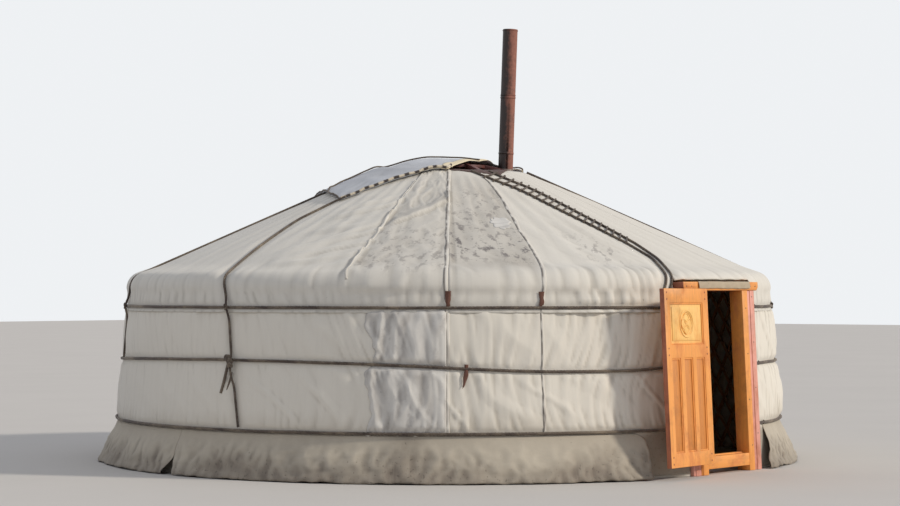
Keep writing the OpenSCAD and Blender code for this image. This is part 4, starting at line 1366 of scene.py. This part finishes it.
def makeFlap():
    def place(fi, fj):
        x, y = flapPoint(fj * 2 - 1, fi)
        return onFlap(x, y, 0.0), (x, y)

    def tint(fi, fj):
        x, y = flapPoint(fj * 2 - 1, fi)
        return max(0.0, 0.25 + 0.5 * wave(x * 2, y * 2, 73)), 0.0

    piece = clothGrid("crownFlap", 84, 136, place, tint, "flap")
    editMesh(piece, outward=True)
    if piece.data.polygons[0].normal.z < 0:
        piece.data.flip_normals()
    thicken(piece, flapShape["thick"])

    # a pale band folded over the front edge
    def bandPlace(fi, fj):
        x = flapShape["bandHalf"] * (fj * 2 - 1)
        y = flapFront(x) + (fi - 0.10) * flapShape["band"] * (1 - 0.80 * smooth(0.55, 0.90, abs(x)))
        return onFlap(x, y, 0.004 * math.sin(math.pi * min(1, fi * 1.02))), (x, y)

    band = clothGrid("flapHem", 6, 150, bandPlace,
                     lambda i, j: (0.1 + 0.2 * abs(wave(j * 30, i)), 0.0), "hem")
    if band.data.polygons[0].normal.z < 0:
        band.data.flip_normals()
    thicken(band, 0.003, 0.0)
    edge, plainEdge = [], []
    for k in range(121):
        x = flapShape["side"] * (k / 60 - 1)
        y = flapFront(x)
        (edge if x < -0.50 else plainEdge).append(onFlap(x, y, 0.015) - Vector((0, 0.008, 0)))
    hemRope, _ = makeRope("flapHemRope", [edge], flapShape["rope"], "hemRope", twist=0.09, stripes=0.095)
    sides = [plainEdge[42:]]
    for s in (-1, 1):
        sides.append([onFlap(*flapPoint(s, k / 40), 0.009) for k in range(41)])
    back = [onFlap(*flapPoint(k / 6 - 1, 1), 0.009) for k in range(13)]
    # the rope thrown over the top of the flap
    stops = [Vector((x, y, 0)) for x, y in ((-1.40, 0.16), (-1.10, 0.62), (-0.62, 0.50), (-0.28, 0.20),
                                            (-0.08, -0.08), (0.02, -0.36))]
    overTop = [onFlap(v.x, v.y, 0.013) for v in resample(rounded(stops, 3), 0.03)]
    sideRope, _ = makeRope("flapSideRopes", sides + [back, overTop], 0.016, "rope", twist=0.06)
    claim(piece, "crown_flap")
    claim(band)
    claim(hemRope)
    claim(sideRope)


makeFlap()
print("crown flap draped")


# Skirts round the foot of the wall: heavy muddy cloth that flares out onto the ground.
skirtShape = {"top": 0.388, "spread": 0.113, "widest": 3.31, "thick": 0.005, "step": 0.018}


def makeSkirt(name, node, a0, a1):
    columns = round(math.radians(a1 - a0) * skirtR / skirtShape["step"])
    rows = 24
    topR = wallAt(skirtShape["top"], coverShape["gap"]) + 0.001
    footR = tent["wallR"] + skirtShape["spread"] - 0.006

    def where(fi, fj):
        # the two lengths part to a notch at the ground, and the end by the door is cut round at its top
        start, end = a0, a1
        ragged = 0.5 * wave(fi * 3.0, a1, 93)
        if name == "skirtRight":
            start = a0 - 2.2 * smooth(0.10, 1.0, fi)
            end = a1 + ragged
        elif name == "skirtBack":
            end = a1 + 0.15 - 1.7 * smooth(0.55, 1.0, fi)
        else:
            end = a1 - 0.8 * fi + ragged - 2.2 * max(0.0, 0.22 - fi) ** 2 / 0.22 ** 2
            start = a0 - 0.10 + 0.9 * smooth(0.60, 1.0, fi)
        return start + (end - start) * fj

    def place(fi, fj):
        az = where(fi, fj)
        x = math.radians(az) * skirtR
        # the hem is ragged
        low = max(0.0, 0.010 + 0.012 * wave(x * 3.0, 2.0, 81) + 0.008 * wave(x * 11.0, 5.0, 82))
        z = skirtShape["top"] + (low - skirtShape["top"]) * fi
        flare = fi ** 1.15
        r = topR + (footR - topR) * flare
        rumple = 0.026 * wave(x * 1.7, fi * 0.8, 83) + 0.015 * ridge(x * 3.8, fi * 1.5, 84)
        rumple += 0.009 * ridge(x * 8, fi * 3, 85)
        rumple += 0.010 * max(0.0, ridge(x * 2.0 + fi * 1.6, fi * 3.5 - x * 0.6, 90) - 0.4)
        r += (rumple + 0.004) * smooth(0.02, 0.55, fi)
        r += 0.016 * bell(fi, 0.93, 0.06) * (0.5 + wave(x * 2.3, 1, 86))
        if name == "skirtRight":    # stiff with mud, it curls at its end beside the door
            curl = 1 - smooth(0.0, 0.16, fj)
            r += curl * (0.018 * math.sin(math.pi * fi) - 0.040 * fi)
            r += 0.014 * ridge(x * 6.0, fi * 2.0, 92) * fi
        z += 0.006 * wave(x * 5, 3, 88) * (1 - smooth(0.0, 0.15, fi))
        return polar(min(r, skirtShape["widest"]), az, max(0.001, z)), (x, z)

    def tint(fi, fj):
        az = where(fi, fj)
        x = math.radians(az) * skirtR
        a = az % 360
        mud = smooth(0.35, 1.0, fi + 0.35 * wave(x * 1.6, fi * 1.5, 87))
        # darker round 212.5 degrees, and lower down round 243 degrees
        spot = 0.8 * bell(a, 212.5, 3.0) + 0.5 * bell(a, 243, 2.6) * smooth(0.1, 0.4, fi)
        dirt = 0.35 * mud * max(0.0, wave(x * 4, fi * 4, 89) + 0.4) + 0.25 * spot
        return min(1.0, 0.25 + 0.6 * mud + 0.4 * spot), min(1.0, dirt)

    piece = clothGrid(name, rows, columns, place, tint, "skirt")
    claim(thicken(piece, skirtShape["thick"]), node)


makeSkirt("skirtLeft", "skirt_left", 171.9, 251.0)
makeSkirt("skirtBack", "skirt_back", 40.0, 171.6)
makeSkirt("skirtRight", "skirt_right", -77.0, 39.9)
print("skirts laid out")


# Girth ropes round the wall, each tied off at the door casings.
girthShape = {"from": -79.2, "to": 259.2, "points": 701, "hitch": 0.020, "hitchD": 0.014}


def girthPoints(level):
    start, end = girthShape["from"], girthShape["to"]
    radius = (tent["girthD"] / 2 + 0.0005) / cosL
    points = []
    for k in range(girthShape["points"]):
        az = start + (end - start) * k / (girthShape["points"] - 1)
        z = middleHeight(az) if level == 1 else tent["girthHeights"][level]
        z += 0.0035 * wave(az * 0.12, level * 5.0, 91)
        if level == 2:      # it lies on the valance
            r = wallAt(z) + radius + valanceOffset(z, az) * 0.2
        else:
            r = wallAt(z, coverShape["gap"]) + radius
        r -= 0.004 * (1 - smooth(0.0, 1.2, min(az - start, end - az)))
        points.append(polar(r, az, z))
    return points


def makeGirthRopes():
    paths = [girthPoints(k) for k in range(3)]
    piece, _ = makeRope("girthRopes", paths, tent["girthD"], "rope", step=0.012, sides=9, twist=0.085)
    for path in paths:      # a hitch at each end, against the casing
        for end, inner in ((path[0], path[8]), (path[-1], path[-9])):
            along = (end - inner).normalized()
            centre = inner.lerp(end, 0.45)
            out = Vector((centre.x, centre.y, 0)).normalized()
            loop = knotPath(centre, out, along, girthShape["hitch"], 0.006)
            knot, _ = makeRope("hitch", [loop], girthShape["hitchD"], "rope", step=0.006, sides=8)
            addMesh(piece, knot)
    claim(piece, "girth_ropes")


makeGirthRopes()


# The tie ropes: name, the solid each one stands for, and its routes.
tieRopes = (
    ("frontStay", None, [ropeRoutes["front"]]),
    ("tieRopeLeft", "tie_rope_left", [ropeRoutes["left"]]),
    ("tieRopeRight", "tie_rope_right", [mirrored(ropeRoutes["left"])]),
    ("tieRopesBack", "tie_rope_back", [ropeRoutes["back"], mirrored(ropeRoutes["back"])]),
)


def makeTieRopes():
    for name, node, routes in tieRopes:
        paths = [routePoints(r, tent["tieD"]) for r in routes]
        piece, _ = makeRope(name, paths, tent["tieD"], "rope", step=0.010, sides=9)
        for r in routes:    # a hitch where it crosses the upper rope
            az = routeAzimuth(r, upperU)
            loop = knotPath(coverPoint(upperU, az, over + 0.014), wallNormal(az), Vector((0, 0, 1)), 0.026)
            knot, _ = makeRope("hitch", [loop], 0.015, "rope", step=0.006, sides=8)
            addMesh(piece, knot)
        claim(piece, node)
        if name == "tieRopeLeft":
            makeMiddleKnot()


# The big knot where the left tie rope crosses the middle rope, and its doubled end.
knotShape = {"azimuth": 182.7, "size": 0.040, "diameter": 0.021, "endDiameter": 0.028,
             "turns": ((0, 0), (0.014, -0.024), (-0.012, 0.026), (0.004, 0.006)),
             "end": ((-0.02, 182.3, 0.040), (0.05, 181.9, 0.034), (0.13, 181.3, 0.020),
                     (0.225, 180.8, 0.017))}


def makeMiddleKnot():
    az = knotShape["azimuth"]
    up, out = Vector((0, 0, 1)), wallNormal(az)
    side = out.cross(up)
    loops = []
    for k, (dx, dz) in enumerate(knotShape["turns"]):
        centre = coverPoint(middleU - 0.045 + dz, az, over + 0.020)
        along = (up + side * (0.8 * math.sin(k * 2.1))).normalized()
        loops.append(knotPath(centre + side * dx, out, along, knotShape["size"] - 0.004 * k, 0.006))
    knot, _ = makeRope("middleKnot", loops, knotShape["diameter"], "rope", step=0.007, sides=8)
    claim(knot)
    # its doubled end hangs down to the left
    drop = [coverPoint(middleU + down, a, lift) for down, a, lift in knotShape["end"]]
    doubled, used = makeRope("knotEnd", [rounded(drop, 3)], knotShape["endDiameter"], "rope",
                             step=0.007, sides=9, twist=0.08, fray=0.2)
    claim(doubled)
    tuple(used[0][0])
    round(lineLength(used[0]), 3)
    [tuple(p) for p in used[0]]


makeTieRopes()

# The lacing beside the door: where its rungs begin and end, their pitch, thickness and slant.
laceShape = {"from": 0.16, "to": 1.74, "pitch": 0.080, "rung": 0.018, "slant": 0.056}


def makeLacing():
    paths = [routePoints(r, tent["tieD"]) for r in laceSides]
    piece, _ = makeRope("lacingRopes", paths, tent["tieD"], "rope", step=0.010, sides=9)
    # short rungs thrown over both ropes, like a ladder
    rungs = []
    u = laceShape["from"]
    while u < laceShape["to"]:
        az = routeAzimuth(ropeRoutes["lace"], u)
        r = profile(u).x
        slip = 0.010 * wave(u * 9, 1.0)
        half = laceHalf(u)
        rightHalf = [(half * 0.5, 0.016), (half, 0.025), (half + 0.009, 0.014), (half + 0.006, 0.004)]
        rung = []
        for x, h in [(-x, h) for x, h in reversed(rightHalf)] + [(0, 0.012)] + rightHalf:
            at = u - laceShape["slant"] * x / half + slip
            a = az + math.degrees(x / r)
            rung.append(coverPoint(at, a, h + 0.8 * coverOffset(at, a)))
        rungs.append(rounded(rung, 1))
        u += laceShape["pitch"] * (1 + 0.12 * wave(u * 7, 2.0))
    thin, _ = makeRope("lacingRungs", rungs, laceShape["rung"], "rope", step=0.010, sides=8, twist=0.04)
    claim(piece, "lacing_ropes")
    claim(thin)


makeLacing()
print("ropes tied")


# Wooden and iron pieces: a copy of the solid is merged, its edges are eased, and it gets paint and wear.
def easeEdges(obj, width, segments=2, angle=35):
    onlySelect(obj)
    if width:
        b = obj.modifiers.new("easedEdges", "BEVEL")
        b.width = width
        b.segments = segments
        b.limit_method = "ANGLE"
        b.angle_limit = math.radians(angle)
        b.harden_normals = False
        bpy.ops.object.modifier_apply(modifier=b.name)
    bpy.ops.object.shade_smooth_by_angle(angle=math.radians(angle))


def dressNode(node, name, material, body, width=0.003, segments=2, angle=35, second=None, picks=None):
    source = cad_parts[node]
    piece = source.copy()
    piece.data = source.data.copy()
    piece.name = piece.data.name = name
    scene.collection.objects.link(piece)
    matrix = source.matrix_world.copy()
    piece.parent = None
    piece.data.transform(matrix)
    piece.matrix_world = Matrix.Identity(4)
    editMesh(piece, merge=0.00004, flatten=0.8)
    easeEdges(piece, width, segments, angle)
    piece.data.materials.clear()
    piece.data.materials.append(mats[material])
    if second:
        piece.data.materials.append(mats[second])
        for f in piece.data.polygons:
            if picks(f.center, f.normal):
                f.material_index = 1
    claim(piece, node, body)


def turned(degrees, axis):
    return Matrix.Rotation(math.radians(degrees), 4, axis)


doorFrame = Matrix.Translation((0, -tent["doorY"], 0)) @ turned(-tent["doorLean"], "X")
doorInverse = doorFrame.inverted()


def lintelEdge(centre, normal):
    # painted shade: the ends and the under edge of the lintel are a darker red
    return abs((doorInverse @ centre).x) > 0.585 or normal.z < -0.6


dressNode("jambs", "jambs", "orange", "tent", 0.004)
dressNode("casings", "casings", "pink", "tent", 0.005)
dressNode("lintel", "lintel", "orangeAcross", "tent", 0.005, second="edge", picks=lintelEdge)
dressNode("threshold", "threshold", "orangeAcross", "tent", 0.006)
print("door frame dressed")


# The leaf stands open; its parts are drawn shut in the door frame and swung with this matrix.
leaf = {
    "halfWidth": 0.370, "low": 0.100, "high": 1.585, "thick": 0.042, "gap": 0.0055, "open": 176.0,
    "hinge": (-0.379, -0.0518), "stile": 0.092, "topRail": 0.120, "upperH": 0.350, "midRail": 0.110,
    "bottomRail": 0.120, "muntin": 0.062, "panelSet": 0.016, "panelT": 0.012, "fieldT": 0.007,
    "bead": 0.013, "beadHeight": 0.009, "beadEase": 0.0035, "pegD": 0.015, "pegSpread": 0.028,
    "ring": (0.112, 0.007), "petal": (0.040, 0.005), "petalAt": 0.044, "darkSide": 0.004,
}
hingeMatrix = Matrix.Translation((*leaf["hinge"], 0))
leafMatrix = doorFrame @ hingeMatrix @ turned(-leaf["open"], "Z") @ hingeMatrix.inverted()
leafInverse = leafMatrix.inverted()


def leafEdge(centre, normal):
    # painted shade: the narrow sides and the bottom of the leaf are a dark red
    p = leafInverse @ centre
    n = leafInverse.to_3x3() @ normal
    atSide = abs(p.x) > leaf["halfWidth"] - leaf["darkSide"] and abs(n.x) > 0.7
    return atSide or (n.z < -0.7 and p.z < leaf["low"] + 0.01)


def fieldFace(centre, normal):
    # the upper panel has its own colour
    return (leafInverse @ centre).z > 0.99


dressNode("leaf_frame", "leafFrame", "orange", "door", 0.004,
          second="edge", picks=leafEdge)
dressNode("leaf_panels", "leafPanels", "panel", "door", 0.002,
          second="field", picks=fieldFace)
dressNode("leaf_hinges", "leafHinges", "iron", "door", 0.0012)
dressNode("hinge_pins", "hingePins", "iron", "tent", 0.0012)


def boardRing(x0, x1, z0, z1, y, width, height):
    # a moulding round an opening that stands height off the panel
    bpy.ops.mesh.primitive_plane_add(size=1, location=((x0 + x1) / 2, y, (z0 + z1) / 2),
                                     rotation=(-math.pi / 2, 0, 0))
    bpy.ops.transform.resize(value=(x1 - x0, 1, z1 - z0))
    ring = newPart()
    bpy.ops.object.mode_set(mode="EDIT")
    bpy.ops.mesh.select_all(action="SELECT")
    bpy.ops.mesh.inset(thickness=width, depth=0)
    bpy.ops.mesh.delete(type="FACE")
    bpy.ops.mesh.select_all(action="SELECT")
    bpy.ops.mesh.extrude_region_move(TRANSFORM_OT_translate={"value": (0, height, 0)})
    bpy.ops.mesh.select_all(action="SELECT")
    bpy.ops.mesh.normals_make_consistent(inside=False)
    bpy.ops.object.mode_set(mode="OBJECT")
    return ring


def makeLeafTrim():
    upperTop = leaf["high"] - leaf["topRail"]
    upperLow = upperTop - leaf["upperH"]
    tallTop = upperLow - leaf["midRail"]
    tallLow = leaf["low"] + leaf["bottomRail"]
    half = leaf["halfWidth"] - leaf["stile"]
    tallW = (2 * half - 2 * leaf["muntin"]) / 3
    faceIn = -leaf["gap"] - leaf["panelSet"]       # the panels' inner face
    faceOut = faceIn - leaf["panelT"]
    openings = [(-half, half, upperLow, upperTop)]
    for i in range(3):
        x = -half + i * (tallW + leaf["muntin"])
        openings.append((x, x + tallW, tallLow, tallTop))
    beads = []
    for x0, x1, z0, z1 in openings:
        for y, sign in ((faceIn, 1), (faceOut, -1)):
            ring = boardRing(x0, x1, z0, z1, y, leaf["bead"], sign * leaf["beadHeight"])
            easeEdges(ring, leaf["beadEase"], 3)
            beads.append(ring)
    assemble("leafBeads", beads, "orange", leafMatrix, "door")

    # a ring and four petals on the raised field
    centre = Vector((0, faceIn + leaf["fieldT"], (upperLow + upperTop) / 2))
    rings = [(centre, *leaf["ring"])]
    for k in range(4):
        turn = k * math.pi / 2
        away = Vector((math.cos(turn), 0, math.sin(turn))) * leaf["petalAt"]
        rings.append((centre + away, *leaf["petal"]))
    flower = []
    for place, major, minor in rings:
        bpy.ops.mesh.primitive_torus_add(major_radius=major, minor_radius=minor, major_segments=56,
                                         minor_segments=10, location=place, rotation=(math.pi / 2, 0, 0))
        flower.append(newPart(soft=True))
    assemble("leafOrnament", flower, "field", leafMatrix, "door")

    # wooden pegs at the joints, seen on both faces
    rails = [leaf["high"] - leaf["topRail"] / 2, upperLow - leaf["midRail"] / 2,
             leaf["low"] + leaf["bottomRail"] / 2]
    spread = leaf["pegSpread"]
    depth = leaf["thick"] + 0.005
    pegs = []
    for z in (rail + dz for rail in rails for dz in (-spread, spread)):
        for s in (-1, 1):
            x = s * (leaf["halfWidth"] - leaf["stile"] / 2) + 0.004
            bpy.ops.mesh.primitive_cylinder_add(vertices=14, radius=leaf["pegD"] / 2, depth=depth,
                                                location=(x, -leaf["gap"] - leaf["thick"] / 2, z),
                                                rotation=(math.pi / 2, 0.3, 0))
            peg = newPart()
            easeEdges(peg, 0.0012, 2)
            pegs.append(peg)
    assemble("leafPegs", pegs, "edge", leafMatrix, "door")


makeLeafTrim()

# Round nail heads on the door frame, each a low dome: across, out and up in the door frame.
nailShape = {"radius": 0.0055, "flat": 0.5, "heights": (0.22, 0.62, 1.02, 1.42), "jamb": 0.378,
             "casing": 0.492, "casingUp": 0.10, "lintel": (-0.55, -0.47, 0.47, 0.55), "lintelZ": 1.612}


def makeNails():
    places = []
    for s in (-1, 1):
        for z in nailShape["heights"]:
            places.append((s * (nailShape["jamb"] + 0.008 * math.sin(z * 9)), -0.0005, z))
            places.append((s * nailShape["casing"], 0.0035, z + nailShape["casingUp"]))
    places += [(x, -0.0005, nailShape["lintelZ"]) for x in nailShape["lintel"]]
    nails = []
    for place in places:
        bpy.ops.mesh.primitive_uv_sphere_add(segments=10, ring_count=6, radius=nailShape["radius"],
                                             location=place)
        bpy.ops.transform.resize(value=(1, nailShape["flat"], 1))
        nails.append(newPart(soft=True))
    assemble("frameNails", nails, "iron", doorFrame)


makeNails()
print("door leaf dressed")


# Apron of coarse cloth tucked over the lintel.
apronShape = {"left": -0.370, "right": 0.450, "drop": 1.594, "top": 1.6535, "run": 0.160,
              "lying": 0.095, "thick": 0.0025}


def makeApron():
    top, lying = apronShape["top"], apronShape["lying"]

    def place(fi, fj):
        x = apronShape["left"] + (apronShape["right"] - apronShape["left"]) * fj
        run = fi * apronShape["run"]
        # clear of the closed leaf
        hang = 0.002 + 0.0035 * wave(x * 5, 2, 95) + 0.002 * wave(x * 17, 3, 95)
        if run < lying:
            p = Vector((x, lying - run - 0.003, top + 0.002 * wave(x * 9, run * 12, 96)))
        else:
            down = (run - lying) / (apronShape["run"] - lying)
            z = top - down * (top - apronShape["drop"] + hang)
            y = -0.0045 - 0.010 * down * (0.4 + 0.6 * ridge(x * 8, 1, 97)) - 0.004 * math.sin(math.pi * down)
            p = Vector((x, min(y, -0.0045), z))
        return doorFrame @ p, (x, run)

    piece = clothGrid("doorApron", 22, 90, place,
                      lambda i, j: (0.2 + 0.4 * abs(wave(j * 8, i * 3, 98)), 0.15), "apron")
    editMesh(piece, outward=True)
    if sum(f.normal.y for f in piece.data.polygons) > 0:
        piece.data.flip_normals()
    claim(thicken(piece, apronShape["thick"]), "door_apron")


makeApron()


# Crown, posts and pipe.
dressNode("crown_rim", "crownRim", "crown", "tent", 0.003, angle=30)
dressNode("crown_spokes", "crownSpokes", "crown", "tent", 0.004, angle=40)
dressNode("crown_posts", "crownPosts", "crown", "tent", 0.004)
dressNode("pipe_collar", "pipeCollar", "collar", "tent", 0.002, angle=40)
pipeShape = {
    "foot": (0.350, -0.410), "lean": 2.0, "turn": -51.0, "below": 0.258, "radius": 0.070,
    # height of the middle, height of the band and how far it stands out
    "bands": [(0.99, 0.026, 0.0028), (1.012, 0.010, 0.0045), (1.628, 0.012, 0.004), (0.46, 0.026, 0.0028)],
}


def makePipe():
    dressNode("stove_pipe", "stovePipe", "pipe", "tent", 0.0, angle=40)
    onPipe = Matrix.Translation((*pipeShape["foot"], crownTop)) @ turned(pipeShape["turn"], "Z")
    onPipe = onPipe @ turned(pipeShape["lean"], "Y") @ Matrix.Translation((0, 0, -pipeShape["below"]))
    bands = []
    for z, height, out in pipeShape["bands"]:
        bpy.ops.mesh.primitive_cylinder_add(vertices=72, radius=pipeShape["radius"] + out, depth=height,
                                            end_fill_type="NOTHING", location=(0, 0, z))
        band = newPart()
        editMesh(band, cuts=2)
        for v in band.data.vertices:      # swell the band in the middle
            f = abs(v.co.z - z) / (height / 2)
            swell = pipeShape["radius"] + 0.0004 + out * math.sqrt(max(0.0, 1 - f * f))
            k = swell / math.hypot(v.co.x, v.co.y)
            v.co.x *= k
            v.co.y *= k
        bands.append(thicken(band, 0.0015))
        bpy.ops.object.shade_smooth()
    assemble("pipeBands", bands, "pipe", onPipe)


makePipe()
print("crown and pipe dressed")


# Felt under the covers, seen from inside and at the edges of the door.
feltShape = {"step": 0.06, "thick": 0.018, "overDoor": 0.062}


def makeFelt(name, node, rows, columns, place):
    piece = clothGrid(name, rows, columns, place, lambda i, j: (0.0, 0.0), "felt")
    return claim(thicken(piece, feltShape["thick"]), node)


def makeFelts():
    low, high = 0.002, wallTop - 0.002
    for n, (a0, a1) in enumerate([(-79.8, 0), (0, 90), (90, 180), (180, 259.8)], 1):
        def place(fi, fj, n=n, a0=a0, a1=a1):
            z = high + (low - high) * fi
            start = jambEdge(z, 1, 0.5475) - 360 if n == 1 else a0
            end = jambEdge(z, -1, 0.5475) if n == 4 else a1
            az = start + (end - start) * fj
            r = wallAt(z, 0.0096) + 0.0008 * wave(az * 0.4, z * 5)
            return polar(r, az, z), (math.radians(az) * clothR, z)

        columns = round(math.radians(a1 - a0) * clothR / feltShape["step"])
        piece = makeFelt(f"wallFelt{n}", f"wall_felt_{n}", 26, columns, place)
    top, end, overDoor = 0.002, roofLen + arcLen, roofLen + feltShape["overDoor"]
    for n, a0 in enumerate((-90, 90), 1):
        def place(fi, fj, a0=a0):
            az = a0 + 180 * fj
            near = min(abs(az + 90), abs(az - 270))
            # shorter over the door
            edge = overDoor + (end - overDoor) * unit((near - 11.4) / 0.8)
            u = top + (edge - top) * fi
            return coverPoint(u, az, -0.0052), (math.radians(az) * profile(u).x, u)

        piece = makeFelt(f"roofFelt{n}", f"roof_felt_{n}", 46, 160, place)


makeFelts()
for nodeName, wood in [(f"lattice_{k}", "lath") for k in range(1, 6)] + [("roof_poles", "pole")]:
    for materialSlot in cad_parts[nodeName].material_slots:
        materialSlot.material = mats[wood]
print("felt, lattice and poles finished")

sizes = {"cad": [list(map(float, v)) for v in cadBox], "visual": [list(map(float, v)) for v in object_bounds()]}
print("visual box", sizes["visual"])
